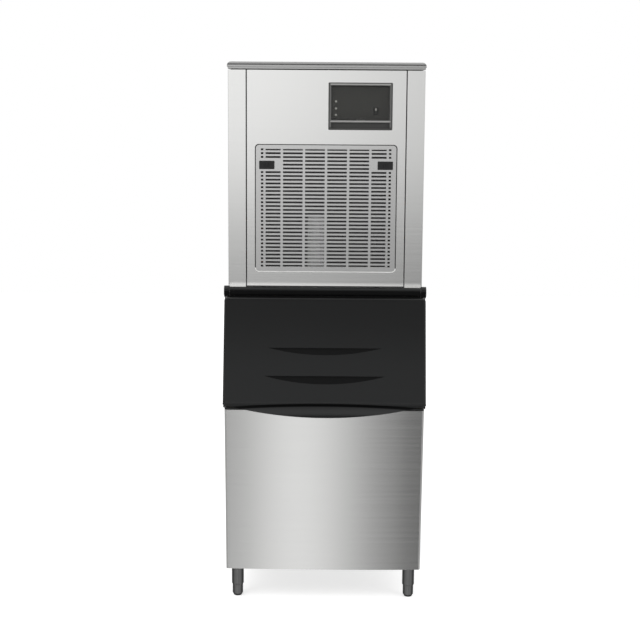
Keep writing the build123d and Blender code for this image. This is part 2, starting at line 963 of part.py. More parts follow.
with BuildPart() as back_panel:
    back_half = inner_half - seat_gap
    block((-back_half, back_half), (back_face - back_flange, back_face), (head_floor, panel_top))
    block(
        (-back_half + sheet, back_half - sheet),
        (back_face - 2 * back_flange, inner_back),
        (head_floor - sheet, panel_top - sheet),
        Mode.SUBTRACT,
    )
    block(
        (-total_height, total_height),
        (back_face - 2 * back_flange, inner_back),
        (head_floor - sheet, head_floor + pan_wall + seat_gap),
        Mode.SUBTRACT,
    )
    for hole_x, hole_z, hole_radius in (
        (inlet_x, inlet_z, inlet_radius - neck_step),
        (head_drain_x, head_drain_z, head_drain_radius - neck_step),
        (gland_x, gland_z, gland_radius),
    ):
        rod(
            (hole_x, back_face + sheet, hole_z),
            to_front,
            hole_radius + seat_gap,
            3 * sheet,
            Mode.SUBTRACT,
        )
back_panel.part.label = "back_panel"
export_step(back_panel.part, "parts/back_panel.step")

with BuildPart() as top_cover:
    cap_half = half_width + cap_overhang
    lower_half = half_width + cap_lower_overhang
    block(
        (-cap_half, cap_half),
        (head_front - cap_overhang, back_face + cap_overhang),
        (total_height - cap_height + cap_step, total_height),
    )
    fillet(top_cover.faces().sort_by(Axis.Z)[-1].edges(), cap_edge_radius)
    block(
        (-lower_half, lower_half),
        (head_front - cap_lower_overhang, back_face + cap_lower_overhang),
        (total_height - cap_height, total_height - cap_height + cap_step),
    )
    block(
        (-lower_half + sheet, lower_half - sheet),
        (head_front - cap_lower_overhang + sheet, back_face + cap_lower_overhang - sheet),
        (total_height - 2 * cap_height, total_height - cap_edge_radius),
        Mode.SUBTRACT,
    )
    block(
        (-lower_half + cap_edge_radius, lower_half - cap_edge_radius),
        (
            head_front - cap_lower_overhang + cap_edge_radius,
            back_face + cap_lower_overhang - cap_edge_radius,
        ),
        (total_height - 2 * cap_height, total_height - sheet),
        Mode.SUBTRACT,
    )
top_cover.part.label = "top_cover"
export_step(top_cover.part, "parts/top_cover.step")

control_width = control_right - control_left
control_height = control_top - control_bottom
control_x = (control_left + control_right) / 2
control_z = (control_bottom + control_top) / 2
with BuildPart() as front_panel:
    front_half = seam_x - panel_seam / 2
    block(
        (-front_half, front_half),
        (head_front, head_front + strip_flange),
        (head_floor + panel_lift, panel_top),
    )
    fillet(front_panel.edges().filter_by(Axis.Z).group_by(Axis.Y)[0], bend_radius)
    block(
        (-front_half + sheet, front_half - sheet),
        (head_front + sheet, head_front + 2 * strip_flange),
        (head_floor - sheet, total_height),
        Mode.SUBTRACT,
    )
    with BuildSketch(wall_at(head_front + sheet)):
        with Locations((0, grille_middle)):
            RectangleRounded(grille_width + 2 * sheet, grille_height + 2 * sheet, grille_radius + sheet)
    extrude(amount=-(grille_flange - sheet))
    with BuildSketch(wall_at(head_front - sheet)):
        with Locations((0, grille_middle)):
            RectangleRounded(grille_width, grille_height, grille_radius)
        with Locations((control_x, control_z)):
            Rectangle(control_width - 2 * bezel_overlap, control_height - 2 * bezel_overlap)
    extrude(amount=-strip_flange, mode=Mode.SUBTRACT)
    recess_rim = front_panel.edges().filter_by_position(
        Axis.Y, head_front, head_front
    ).filter_by_position(Axis.Z, grille_bottom - sheet, grille_top + sheet).filter_by_position(
        Axis.X, -grille_width / 2 - sheet, grille_width / 2 + sheet
    )
    fillet(recess_rim, bend_radius)
front_panel.part.label = "front_panel"
export_step(front_panel.part, "parts/front_panel.step")

# Air intake: a moulded grille with two sliding latches, and the washable filter behind it
def slot_places():
    """Middles of the grille's slots, without the rows that the latch pads take."""
    places = []
    for column in range(slot_columns):
        for row in range(slot_rows):
            outer_column = column in (0, slot_columns - 1)
            if not (outer_column and pad_first_row <= row <= pad_last_row):
                x = (column - (slot_columns - 1) / 2) * column_pitch
                places.append((x, top_row - row * row_pitch))
    return places


with BuildPart() as intake_grille:
    with BuildSketch(wall_at(grille_face)):
        with Locations((0, grille_middle)):
            RectangleRounded(
                grille_width - 2 * grille_gap,
                grille_height - 2 * grille_gap,
                grille_radius - grille_gap,
            )
    extrude(amount=-grille_thickness)
    fillet(intake_grille.faces().sort_by(Axis.Y)[0].edges(), grille_edge)
    with BuildSketch(wall_at(grille_face - grille_inset)):
        with Locations(*slot_places()):
            Rectangle(slot_width, slot_height)
        with Locations((-latch_x, latch_z), (latch_x, latch_z)):
            Rectangle(
                latch_stem_width + 2 * latch_travel + 2 * seat_gap,
                latch_stem_height + 2 * seat_gap,
            )
    extrude(amount=-2 * (grille_inset + grille_thickness), mode=Mode.SUBTRACT)
intake_grille.part.label = "intake_grille"
export_step(intake_grille.part, "parts/intake_grille.step")

for side, side_name in ((-1, "left"), (1, "right")):
    with BuildPart() as latch:
        with BuildSketch(wall_at(grille_face - seat_gap)):
            with Locations((side * latch_x, latch_z)):
                RectangleRounded(latch_width, latch_height, latch_corner)
        extrude(amount=latch_plate)
        fillet(latch.faces().sort_by(Axis.Y)[0].edges(), latch_edge)
        with BuildSketch(wall_at(grille_face - seat_gap - latch_plate)):
            for rib in range(latch_grip_ribs):
                rib_x = (rib - (latch_grip_ribs - 1) / 2) * latch_rib_pitch
                with Locations((side * latch_x + rib_x, latch_z)):
                    Rectangle(latch_rib_pitch / 2, latch_height / 2)
        extrude(amount=-latch_plate / 2, mode=Mode.SUBTRACT)
        with BuildSketch(wall_at(grille_face - seat_gap)):
            with Locations((side * latch_x, latch_z)):
                Rectangle(latch_stem_width, latch_stem_height)
        extrude(amount=-(grille_thickness + 2 * seat_gap))
        tongue_from = latch_x - latch_stem_width / 2
        tongue_y = grille_back + seat_gap
        block(
            between(side * tongue_from, side * latch_tongue_reach),
            (tongue_y, tongue_y + latch_tongue),
            (latch_z - latch_tongue_height / 2, latch_z + latch_tongue_height / 2),
        )
    latch.part.label = f"grille_latch_{side_name}"
    export_step(latch.part, f"parts/grille_latch_{side_name}.step")

filter_front = grille_back + seat_gap
filter_middle = (filter_bottom + filter_top) / 2
filter_height = filter_top - filter_bottom
with BuildPart() as filter_frame:
    with BuildSketch(wall_at(filter_front)):
        with Locations((0, filter_middle)):
            Rectangle(filter_width, filter_height)
            Rectangle(
                filter_width - 2 * filter_bar,
                filter_height - 2 * filter_bar,
                mode=Mode.SUBTRACT,
            )
    extrude(amount=-filter_depth)
    for side in (-1, 1):
        with BuildSketch(wall_at(filter_front)):
            with Locations((side * filter_width / 2, latch_z)):
                Rectangle(4 * filter_bar, latch_tongue_height + 2 * filter_notch)
        extrude(amount=-(latch_tongue + 2 * seat_gap), mode=Mode.SUBTRACT)
filter_frame.part.label = "filter_frame"
export_step(filter_frame.part, "parts/filter_frame.step")

with BuildPart() as filter_mesh:
    with BuildSketch(wall_at(filter_front + filter_depth / 2)):
        with Locations((0, filter_middle)):
            Rectangle(
                filter_width - 2 * (filter_bar + seat_gap),
                filter_height - 2 * (filter_bar + seat_gap),
            )
    extrude(amount=-filter_mesh_thickness)
filter_mesh.part.label = "filter_mesh"
export_step(filter_mesh.part, "parts/filter_mesh.step")

# Control unit: bezel, plate with lamps and a rocker switch, and a smoked cover hinged at its top
window_width = control_width - 2 * bezel_border
window_top = control_top - bezel_border
window_height = window_top - ledge_top
window_z = (window_top + ledge_top) / 2
cover_pin_z = window_top - cover_barrel_radius - cover_side_gap
cover_pin_y = head_front - cover_inset + cover_barrel_radius
with BuildPart() as control_bezel:
    with BuildSketch(wall_at(head_front)):
        with Locations((control_x, control_z)):
            RectangleRounded(control_width, control_height, bezel_radius)
    extrude(amount=bezel_proud)
    fillet(control_bezel.faces().sort_by(Axis.Y)[0].edges(), bend_radius)
    with BuildSketch(wall_at(head_front)):
        with Locations((control_x, control_z)):
            Rectangle(
                control_width - 2 * (bezel_overlap + seat_gap),
                control_height - 2 * (bezel_overlap + seat_gap),
            )
    extrude(amount=-bezel_depth)
    with BuildSketch(wall_at(head_front - 2 * bezel_proud)):
        with Locations((control_x, window_z)):
            Rectangle(window_width, window_height)
    extrude(amount=-2 * bezel_depth, mode=Mode.SUBTRACT)
    strip_bottom = control_bottom + bezel_overlap + seat_gap + sheet
    with BuildSketch(wall_at(head_front - 2 * bezel_proud)):
        with Locations((control_x, (strip_bottom + ledge_bottom) / 2)):
            Rectangle(window_width, ledge_bottom - strip_bottom)
    extrude(amount=-(2 * bezel_proud + strip_recess), mode=Mode.SUBTRACT)
    for side in (-1, 1):
        rod(
            (control_x + side * (window_width / 2 - seam), cover_pin_y, cover_pin_z),
            (side, 0, 0),
            cover_pin_radius + shaft_gap,
            cover_pin_length + 2 * seam,
            Mode.SUBTRACT,
        )
control_bezel.part.label = "control_bezel"
export_step(control_bezel.part, "parts/control_bezel.step")

with BuildPart() as control_plate:
    with BuildSketch(wall_at(head_front + plate_depth)):
        with Locations((control_x, window_z)):
            Rectangle(window_width - 2 * seat_gap, window_height - 2 * seat_gap)
        for height in lens_z:
            with Locations((lens_x, height)):
                Circle(lens_radius + shaft_gap, mode=Mode.SUBTRACT)
        with Locations((switch_x, switch_z)):
            Rectangle(
                rocker_width + 2 * seat_gap,
                2 * (rocker_radius + seat_gap),
                mode=Mode.SUBTRACT,
            )
    extrude(amount=-plate_thickness)
control_plate.part.label = "control_plate"
export_step(control_plate.part, "parts/control_plate.step")

with BuildPart() as indicator_lenses:
    for height in lens_z:
        rod(
            (lens_x, head_front + plate_depth - lens_proud, height),
            to_back,
            lens_radius,
            plate_thickness + lens_proud,
        )
    chamfer(indicator_lenses.edges().filter_by(GeomType.CIRCLE).group_by(Axis.Y)[0], lens_proud / 2)
indicator_lenses.part.label = "indicator_lenses"
export_step(indicator_lenses.part, "parts/indicator_lenses.step")

# Rocker: a round back that turns in its slot, with a shallow valley across the front
rocker_y = head_front + plate_depth + plate_thickness / 2
with BuildPart() as rocker_switch:
    rod((switch_x - rocker_width / 2, rocker_y, switch_z), rightward, rocker_radius, rocker_width)
    tilt = radians(rocker_tilt)
    valley = rocker_radius * sin(radians(rocker_valley))
    rocker_section = Plane(
        origin=(switch_x, rocker_y, switch_z),
        x_dir=(0, cos(tilt), sin(tilt)),
        z_dir=(1, 0, 0),
    )
    with BuildSketch(rocker_section):
        with BuildLine():
            Polyline(
                (-rocker_radius / 2, 0),
                (-rocker_radius / 2 - valley, rocker_radius),
                (-2 * rocker_radius, rocker_radius),
                (-2 * rocker_radius, -rocker_radius),
                (-rocker_radius / 2 - valley, -rocker_radius),
                close=True,
            )
        make_face()
    extrude(amount=rocker_width, both=True, mode=Mode.SUBTRACT)
rocker_switch.part.label = "rocker_switch"
export_step(rocker_switch.part, "parts/rocker_switch.step")

with BuildPart() as control_cover:
    cover_half = window_width / 2 - cover_side_gap
    cover_front = head_front - cover_inset
    block(
        (control_x - cover_half, control_x + cover_half),
        (cover_front, cover_front + cover_thickness),
        (ledge_top + cover_side_gap, cover_pin_z),
    )
    rod(
        (control_x - cover_half, cover_pin_y, cover_pin_z),
        rightward,
        cover_barrel_radius,
        2 * cover_half,
    )
    rod(
        (control_x - cover_half - cover_pin_length, cover_pin_y, cover_pin_z),
        rightward,
        cover_pin_radius,
        2 * (cover_half + cover_pin_length),
    )
    with BuildSketch(wall_at(cover_front - sheet)):
        with Locations((control_x, ledge_top + cover_side_gap)):
            SlotOverall(cover_notch_width, cover_notch_height)
    extrude(amount=-2 * cover_thickness, mode=Mode.SUBTRACT)
control_cover.part.label = "control_cover"
export_step(control_cover.part, "parts/control_cover.step")

# Condenser: fin pack between two end plates that stand on the pan, with return bends at both sides
condenser_front = head_front + condenser_ahead
condenser_back = condenser_front + condenser_thickness
fin_half = condenser_width / 2 - end_plate
with BuildPart() as condenser_fins:
    block((-fin_half, fin_half), (condenser_front, condenser_back), (condenser_bottom, condenser_top))
    fin_pitch = 2 * fin_half / fin_count
    with BuildSketch(wall_at(condenser_front)):
        for gap in range(fin_count - 1):
            with Locations(((gap + 1) * fin_pitch - fin_half, (condenser_bottom + condenser_top) / 2)):
                Rectangle(fin_pitch * fin_gap_share, condenser_top - condenser_bottom)
    extrude(amount=-fin_groove, mode=Mode.SUBTRACT)
    for side in (-1, 1):
        block(
            between(side * fin_half, side * (fin_half + end_plate)),
            (condenser_front, condenser_back),
            (pan_floor, condenser_top),
        )
condenser_fins.part.label = "condenser_fins"
export_step(condenser_fins.part, "parts/condenser_fins.step")

with BuildPart() as condenser_tubes:
    tube_y = (condenser_front + condenser_back) / 2
    for side in (-1, 1):
        first = 0 if side < 0 else 1
        for row in range(first, tube_rows - 1, 2):
            low = condenser_bottom + tube_pitch / 2 + row * tube_pitch
            tube_face = side * (condenser_width / 2 + seat_gap)
            elbow = side * (condenser_width / 2 + tube_bend)
            with BuildLine() as route:
                Line((tube_face, tube_y, low), (elbow, tube_y, low))
                ThreePointArc(
                    (elbow, tube_y, low),
                    (elbow + side * tube_pitch / 2, tube_y, low + tube_pitch / 2),
                    (elbow, tube_y, low + tube_pitch),
                )
                Line((elbow, tube_y, low + tube_pitch), (tube_face, tube_y, low + tube_pitch))
            with BuildSketch(Plane(origin=(tube_face, tube_y, low), z_dir=(side, 0, 0))):
                Circle(tube_radius)
            sweep()
condenser_tubes.part.label = "condenser_tubes"
export_step(condenser_tubes.part, "parts/condenser_tubes.step")

with BuildPart() as fan_shroud:
    with BuildSketch(wall_at(condenser_back)):
        with Locations((0, (condenser_bottom + condenser_top) / 2)):
            Rectangle(condenser_width, condenser_top - condenser_bottom)
        with Locations((0, fan_height)):
            Circle(fan_radius + fan_clearance, mode=Mode.SUBTRACT)
    extrude(amount=-shroud_thickness)
    with BuildSketch(wall_at(condenser_back + shroud_thickness)):
        with Locations((0, fan_height)):
            Circle(fan_radius + fan_clearance + end_plate)
            Circle(fan_radius + fan_clearance, mode=Mode.SUBTRACT)
    extrude(amount=-shroud_ring)
fan_shroud.part.label = "fan_shroud"
export_step(fan_shroud.part, "parts/fan_shroud.step")

# Fan: the motor hangs on four arms behind the shroud's ring, and the hub turns on its shaft
fan_y = condenser_back + shroud_thickness + shroud_to_fan
motor_front = condenser_back + shroud_thickness + shroud_ring
with BuildPart() as fan_motor:
    rod((0, motor_front, fan_height), to_back, motor_radius, motor_length)
    fillet(fan_motor.edges().filter_by(GeomType.CIRCLE).group_by(Axis.Y)[-1], motor_rounding)
    with BuildSketch(wall_at(motor_front + seat_gap)):
        with Locations((0, fan_height)):
            for turn in (45, 135):
                Rectangle(2 * motor_arm_reach, motor_arm_width, rotation=turn)
    extrude(amount=-motor_arm_thickness)
    rod(
        (0, fan_y - fan_hub_length / 2 + fan_cap + seat_gap, fan_height),
        to_back,
        fan_bore_radius,
        motor_front - fan_y + fan_hub_length / 2,
    )
fan_motor.part.label = "fan_motor"
export_step(fan_motor.part, "parts/fan_motor.step")

with BuildPart(wall_at(fan_y)) as fan_blade:
    Cylinder(fan_hub_radius, fan_hub_length)
    with PolarLocations((fan_radius + fan_hub_radius) / 2 - fan_bore_radius / 2, fan_blades):
        Box(
            fan_radius - fan_hub_radius + fan_bore_radius,
            blade_width,
            blade_thickness,
            rotation=(blade_pitch, 0, 0),
        )
    with Locations((0, 0, -fan_cap)):
        Cylinder(fan_bore_radius + shaft_gap, fan_hub_length, mode=Mode.SUBTRACT)
fan_blade.part = fan_blade.part.moved(Location((0, 0, fan_height)))
fan_blade.part.label = "fan_blade"
export_step(fan_blade.part, "parts/fan_blade.step")

# Compressor on its plate and four rubber mounts
grommet_places = [
    (compressor_x + dx * grommet_spread_x / 2, compressor_y + dy * grommet_spread_y / 2)
    for dx in (-1, 1)
    for dy in (-1, 1)
]
with BuildPart() as compressor_mounts:
    for mount_x, mount_y in grommet_places:
        rod((mount_x, mount_y, pan_floor), upward, grommet_radius, grommet_height)
compressor_mounts.part.label = "compressor_mounts"
export_step(compressor_mounts.part, "parts/compressor_mounts.step")

with BuildPart() as compressor:
    plate_floor = pan_floor + grommet_height
    with BuildSketch(Plane.XY.offset(plate_floor)):
        with Locations((compressor_x, compressor_y)):
            RectangleRounded(
                grommet_spread_x + 3 * grommet_radius,
                grommet_spread_y + 3 * grommet_radius,
                grommet_radius,
            )
    extrude(amount=compressor_plate)
    can_foot = plate_floor + compressor_plate / 2
    rod((compressor_x, compressor_y, can_foot), upward, compressor_radius, compressor_height)
    can_rims = compressor.edges().filter_by(GeomType.CIRCLE).filter_by(
        lambda rim: rim.radius > compressor_radius - seat_gap
    )
    fillet(can_rims.sort_by(Axis.Z)[-1], compressor_dome)
compressor.part.label = "compressor"
export_step(compressor.part, "parts/compressor.step")

# Liquid receiver that stands in front of the condenser
with BuildPart() as liquid_receiver:
    receiver_y = head_front + receiver_behind_front
    rod((receiver_x, receiver_y, pan_floor), upward, receiver_radius, receiver_height)
    fillet(
        liquid_receiver.edges().filter_by(GeomType.CIRCLE).group_by(Axis.Z)[-1],
        receiver_dome,
    )
liquid_receiver.part.label = "liquid_receiver"
export_step(liquid_receiver.part, "parts/liquid_receiver.step")

# Wall between the dry and the wet side, with the drier and the gas valve on it
with BuildPart() as divider_wall:
    block(
        (-inner_half + seat_gap, inner_half - seat_gap),
        (divider_face, wet_front),
        (pan_floor, panel_top - sheet - seat_gap),
    )
    block(
        (-inner_half, -pan_half + 2 * sheet),
        (divider_face - sheet, wet_front + sheet),
        (head_floor, head_floor + pan_wall + seat_gap),
        Mode.SUBTRACT,
    )
    block(
        (pan_half - 2 * sheet, inner_half),
        (divider_face - sheet, wet_front + sheet),
        (head_floor, head_floor + pan_wall + seat_gap),
        Mode.SUBTRACT,
    )
divider_wall.part.label = "divider_wall"
export_step(divider_wall.part, "parts/divider_wall.step")

with BuildPart() as filter_drier:
    drier_y = divider_face - seat_gap - drier_radius - drier_clip
    rod((drier_x - drier_length / 2, drier_y, drier_z), rightward, drier_radius, drier_length)
    rod((drier_x - drier_length, drier_y, drier_z), rightward, tube_radius, 2 * drier_length)
    block(
        (drier_x - drier_radius, drier_x + drier_radius),
        (drier_y, divider_face - seat_gap),
        (drier_z - drier_radius, drier_z + drier_radius),
    )
filter_drier.part.label = "filter_drier"
export_step(filter_drier.part, "parts/filter_drier.step")

with BuildPart() as hot_gas_valve:
    valve_face = divider_face - seat_gap
    block(
        (gas_valve_x - gas_valve_body / 2, gas_valve_x + gas_valve_body / 2),
        (valve_face - gas_valve_body, valve_face),
        (gas_valve_z - gas_valve_body / 2, gas_valve_z + gas_valve_body / 2),
    )
    rod(
        (gas_valve_x, valve_face - gas_valve_body / 2, gas_valve_z),
        upward,
        gas_valve_body / 3,
        gas_valve_body / 2 + gas_valve_coil,
    )
    rod(
        (gas_valve_x, valve_face - gas_valve_body / 2, gas_valve_z + gas_valve_body / 2),
        upward,
        gas_valve_body / 2,
        gas_valve_coil * 2 / 3,
    )
hot_gas_valve.part.label = "hot_gas_valve"
export_step(hot_gas_valve.part, "parts/hot_gas_valve.step")

with BuildPart() as electrical_box:
    with BuildSketch(Plane.YZ.offset(-inner_half + seat_gap)):
        with Locations((electrical_y, electrical_bottom + electrical_height / 2)):
            RectangleRounded(electrical_depth, electrical_height, electrical_radius)
    extrude(amount=electrical_width)
    fillet(electrical_box.faces().sort_by(Axis.X)[-1].edges(), electrical_radius)
electrical_box.part.label = "electrical_box"
export_step(electrical_box.part, "parts/electrical_box.step")

# Evaporator: a plate of open cells carried from the back panel by two side brackets
evaporator_back = back_face - evaporator_inset
evaporator_face = evaporator_back - evaporator_thickness
evaporator_half = cell_columns * cell_pitch / 2 + evaporator_border
evaporator_top = evaporator_bottom + cell_rows * cell_pitch + 2 * evaporator_border
evaporator_middle = (evaporator_bottom + evaporator_top) / 2
curtain_back = evaporator_face - curtain_gap
curtain_y = curtain_back - curtain_thickness / 2
curtain_pin_z = evaporator_top - curtain_ear
bracket_front = curtain_y - curtain_ear / 2
with BuildPart() as evaporator:
    block(
        (-evaporator_half, evaporator_half),
        (evaporator_face, evaporator_back),
        (evaporator_bottom, evaporator_top),
    )
    with BuildSketch(wall_at(evaporator_face)):
        with Locations((0, evaporator_middle)):
            with GridLocations(cell_pitch, cell_pitch, cell_columns, cell_rows):
                Rectangle(cell_size, cell_size)
    extrude(amount=-cell_depth, mode=Mode.SUBTRACT)
    for side in (-1, 1):
        bracket_x = side * (evaporator_half + bracket_thickness / 2)
        block(
            (bracket_x - bracket_thickness / 2, bracket_x + bracket_thickness / 2),
            (bracket_front, inner_back - seat_gap),
            (evaporator_top - bracket_height, evaporator_top),
        )
        rod(
            (side * (evaporator_half - seam), curtain_y, curtain_pin_z),
            (side, 0, 0),
            curtain_pin + shaft_gap,
            bracket_thickness + 2 * seam,
            Mode.SUBTRACT,
        )
evaporator.part.label = "evaporator"
export_step(evaporator.part, "parts/evaporator.step")

with BuildPart() as splash_curtain:
    curtain_half = evaporator_half - seam
    block(
        (-curtain_half, curtain_half),
        (curtain_back - curtain_thickness, curtain_back),
        (trough_bottom + trough_height + curtain_hang, curtain_pin_z),
    )
    rod((-curtain_half, curtain_y, curtain_pin_z), rightward, curtain_barrel, 2 * curtain_half)
    rod(
        (-curtain_half - bracket_thickness, curtain_y, curtain_pin_z),
        rightward,
        curtain_pin,
        2 * (curtain_half + bracket_thickness),
    )
splash_curtain.part.label = "splash_curtain"
export_step(splash_curtain.part, "parts/splash_curtain.step")

with BuildPart() as water_distributor:
    distributor_y = (evaporator_face + evaporator_back) / 2
    distributor_z = evaporator_top + distributor_radius + seat_gap
    distributor_end = -evaporator_half - distributor_overhang
    distributor_length = evaporator_half - distributor_end
    rod(
        (distributor_end, distributor_y, distributor_z),
        rightward,
        distributor_radius,
        distributor_length,
    )
    rod(
        (distributor_end - sheet, distributor_y, distributor_z),
        rightward,
        distributor_bore,
        distributor_length - trough_wall,
        Mode.SUBTRACT,
    )
    for column in range(cell_columns):
        hole_x = (column - (cell_columns - 1) / 2) * cell_pitch
        rod(
            (hole_x, distributor_y, distributor_z),
            to_front,
            distributor_hole,
            2 * distributor_radius,
            Mode.SUBTRACT,
        )
water_distributor.part.label = "water_distributor"
export_step(water_distributor.part, "parts/water_distributor.step")

# Trough under the evaporator, with the pump at its left end and the level float at its right end
trough_front = curtain_back - curtain_thickness - trough_front_ahead
trough_back = inner_back - back_flange
trough_top = trough_bottom + trough_height
trough_y = (trough_front + trough_back) / 2
with BuildPart() as water_trough:
    block((-trough_half, trough_half), (trough_front, trough_back), (trough_bottom, trough_top))
    block(
        (-trough_half + trough_wall, trough_half - trough_wall),
        (trough_front + trough_wall, trough_back - trough_wall),
        (trough_bottom + trough_wall, total_height),
        Mode.SUBTRACT,
    )
    for side in (-1, 1):
        runner_x = side * (trough_half - 2 * pan_rim)
        block(
            (runner_x - pan_rim, runner_x + pan_rim),
            (trough_front, trough_back),
            (pan_floor, trough_bottom),
        )
water_trough.part.label = "water_trough"
export_step(water_trough.part, "parts/water_trough.step")

with BuildPart() as circulation_pump:
    block(
        (pump_x - pump_radius, pump_x + pump_radius),
        (trough_front, trough_back),
        (trough_top, trough_top + pump_plate),
    )
    rod((pump_x, trough_y, trough_top), upward, pump_radius, pump_plate + pump_can_height)
    fillet(circulation_pump.edges().filter_by(GeomType.CIRCLE).group_by(Axis.Z)[-1], pump_plate)
    rod(
        (pump_x, trough_y, trough_top + pump_plate),
        downward,
        pump_stem_radius,
        pump_plate + pump_stem_depth,
    )
circulation_pump.part.label = "circulation_pump"
export_step(circulation_pump.part, "parts/circulation_pump.step")

with BuildPart() as water_riser:
    riser_foot = trough_top + pump_plate + pump_can_height + seat_gap
    with BuildLine() as riser_route:
        FilletPolyline(
            (pump_x, trough_y, riser_foot),
            (pump_x, trough_y, riser_knee_z),
            (pump_x, distributor_y, distributor_z),
            (distributor_end - seat_gap, distributor_y, distributor_z),
            radius=riser_bend,
        )
    with BuildSketch(Plane(origin=(pump_x, trough_y, riser_foot), z_dir=upward)):
        Circle(riser_radius)
        Circle(riser_bore, mode=Mode.SUBTRACT)
    sweep()
water_riser.part.label = "water_riser"
export_step(water_riser.part, "parts/water_riser.step")

with BuildPart() as float_stem:
    stem_foot = trough_bottom + trough_wall + float_stop_lift
    block(
        (float_x - float_radius, float_x + float_radius),
        (trough_front, trough_back),
        (trough_top, trough_top + pump_plate),
    )
    rod((float_x, trough_y, stem_foot), upward, float_stem_radius, trough_top - stem_foot + pump_plate)
    rod((float_x, trough_y, stem_foot), upward, float_stop_radius, float_stop_height)
float_stem.part.label = "float_stem"
export_step(float_stem.part, "parts/float_stem.step")

with BuildPart() as level_float:
    float_foot = stem_foot + float_stop_height + seat_gap
    rod((float_x, trough_y, float_foot), upward, float_radius, float_height)
    rod(
        (float_x, trough_y, float_foot - seam),
        upward,
        float_stem_radius + float_bore_gap,
        float_height + 2 * seam,
        Mode.SUBTRACT,
    )
level_float.part.label = "level_float"
export_step(level_float.part, "parts/level_float.step")

# Fittings that pass through the back panel
with BuildPart() as inlet_valve:
    inlet_front = inner_back - seat_gap
    block(
        (inlet_x - valve_body / 2, inlet_x + valve_body / 2),
        (inlet_front - valve_depth, inlet_front),
        (inlet_z - valve_body / 2, inlet_z + valve_body / 2),
    )
    rod(
        (inlet_x, inlet_front - valve_depth / 2, inlet_z),
        downward,
        valve_coil_radius,
        valve_body / 2 + valve_coil_height,
    )
    rod(
        (inlet_x, inlet_front, inlet_z),
        to_back,
        inlet_radius - neck_step,
        back_face + rear_reach - inlet_front,
    )
    rod((inlet_x, back_face + seat_gap, inlet_z), to_back, inlet_radius, rear_reach - seat_gap)
    rod(
        (inlet_x, back_face + rear_reach + sheet, inlet_z),
        to_front,
        inlet_bore,
        rear_reach + sheet,
        Mode.SUBTRACT,
    )
inlet_valve.part.label = "inlet_valve"
export_step(inlet_valve.part, "parts/inlet_valve.step")

with BuildPart() as head_drain_fitting:
    drain_front = trough_back + seat_gap
    rod(
        (head_drain_x, drain_front, head_drain_z),
        to_back,
        head_drain_radius - neck_step,
        back_face + drain_reach - drain_front,
    )
    rod(
        (head_drain_x, back_face + seat_gap, head_drain_z),
        to_back,
        head_drain_radius,
        drain_reach - seat_gap,
    )
    rod(
        (head_drain_x, inner_back - seat_gap - 2 * sheet, head_drain_z),
        to_back,
        head_drain_radius + drain_flange / 2,
        2 * sheet,
    )
    rod(
        (head_drain_x, drain_front - sheet, head_drain_z),
        to_back,
        head_drain_bore,
        2 * sheet + back_face + drain_reach - drain_front,
        Mode.SUBTRACT,
    )
head_drain_fitting.part.label = "head_drain_fitting"
export_step(head_drain_fitting.part, "parts/head_drain_fitting.step")

with BuildPart() as power_gland:
    with BuildSketch(wall_at(back_face + seat_gap)):
        with Locations((gland_x, gland_z)):
            RegularPolygon(gland_nut_radius, 6)
    extrude(amount=-gland_nut_length)
    rod(
        (gland_x, inner_back - gland_nut_length, gland_z),
        to_back,
        gland_radius,
        2 * gland_nut_length + sheet + seat_gap,
    )
    rod(
        (gland_x, inner_back - 2 * gland_nut_length, gland_z),
        to_back,
        gland_bore,
        6 * gland_nut_length,
        Mode.SUBTRACT,
    )
power_gland.part.label = "power_gland"
export_step(power_gland.part, "parts/power_gland.step")
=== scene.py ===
import json
import math

import bmesh
import bpy
from mathutils import Matrix, Vector
from mathutils.bvhtree import BVHTree

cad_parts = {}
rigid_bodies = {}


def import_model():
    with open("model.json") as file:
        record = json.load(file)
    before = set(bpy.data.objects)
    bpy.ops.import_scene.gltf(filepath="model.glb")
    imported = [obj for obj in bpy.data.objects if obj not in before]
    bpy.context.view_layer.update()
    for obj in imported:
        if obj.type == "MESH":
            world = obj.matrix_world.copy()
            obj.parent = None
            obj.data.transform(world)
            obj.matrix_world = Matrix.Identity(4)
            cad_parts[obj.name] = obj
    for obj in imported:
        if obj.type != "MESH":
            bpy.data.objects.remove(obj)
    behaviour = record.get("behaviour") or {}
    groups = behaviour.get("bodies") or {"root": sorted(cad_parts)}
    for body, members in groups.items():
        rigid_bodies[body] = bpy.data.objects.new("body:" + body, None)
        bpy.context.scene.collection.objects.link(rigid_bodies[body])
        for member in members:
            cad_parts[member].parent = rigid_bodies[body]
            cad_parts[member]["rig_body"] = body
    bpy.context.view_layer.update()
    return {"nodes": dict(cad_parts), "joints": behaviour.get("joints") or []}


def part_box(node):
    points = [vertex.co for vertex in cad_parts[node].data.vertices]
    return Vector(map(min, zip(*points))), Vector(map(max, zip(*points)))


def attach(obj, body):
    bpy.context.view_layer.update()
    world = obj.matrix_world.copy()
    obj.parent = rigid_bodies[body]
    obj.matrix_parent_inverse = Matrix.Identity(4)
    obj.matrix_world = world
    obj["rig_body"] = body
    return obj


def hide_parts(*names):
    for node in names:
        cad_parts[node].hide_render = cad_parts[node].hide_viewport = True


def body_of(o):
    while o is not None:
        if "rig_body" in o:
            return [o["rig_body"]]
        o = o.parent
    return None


# Ice cube machine: finishes, soft edges and small repeated pieces around the solids.
# Metres, in the part's own frame: X to the right, Y to the back, Z up.
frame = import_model()
nodes = frame["nodes"]
MM = 0.001

# Camera, as fitted to the seams, corners and slots of the photograph
CAMERA_AHEAD = 4.0
CAMERA_SIDE = -0.0028
CAMERA_HEIGHT = 1.4424
CAMERA_PITCH = math.radians(9.038)
CAMERA_YAW = math.radians(0.163)
CAMERA_ROLL = math.radians(0.399)
FOCAL_PIXELS = 1391.6
IMAGE_PIXELS = 640
SENSOR_WIDTH = 36.0

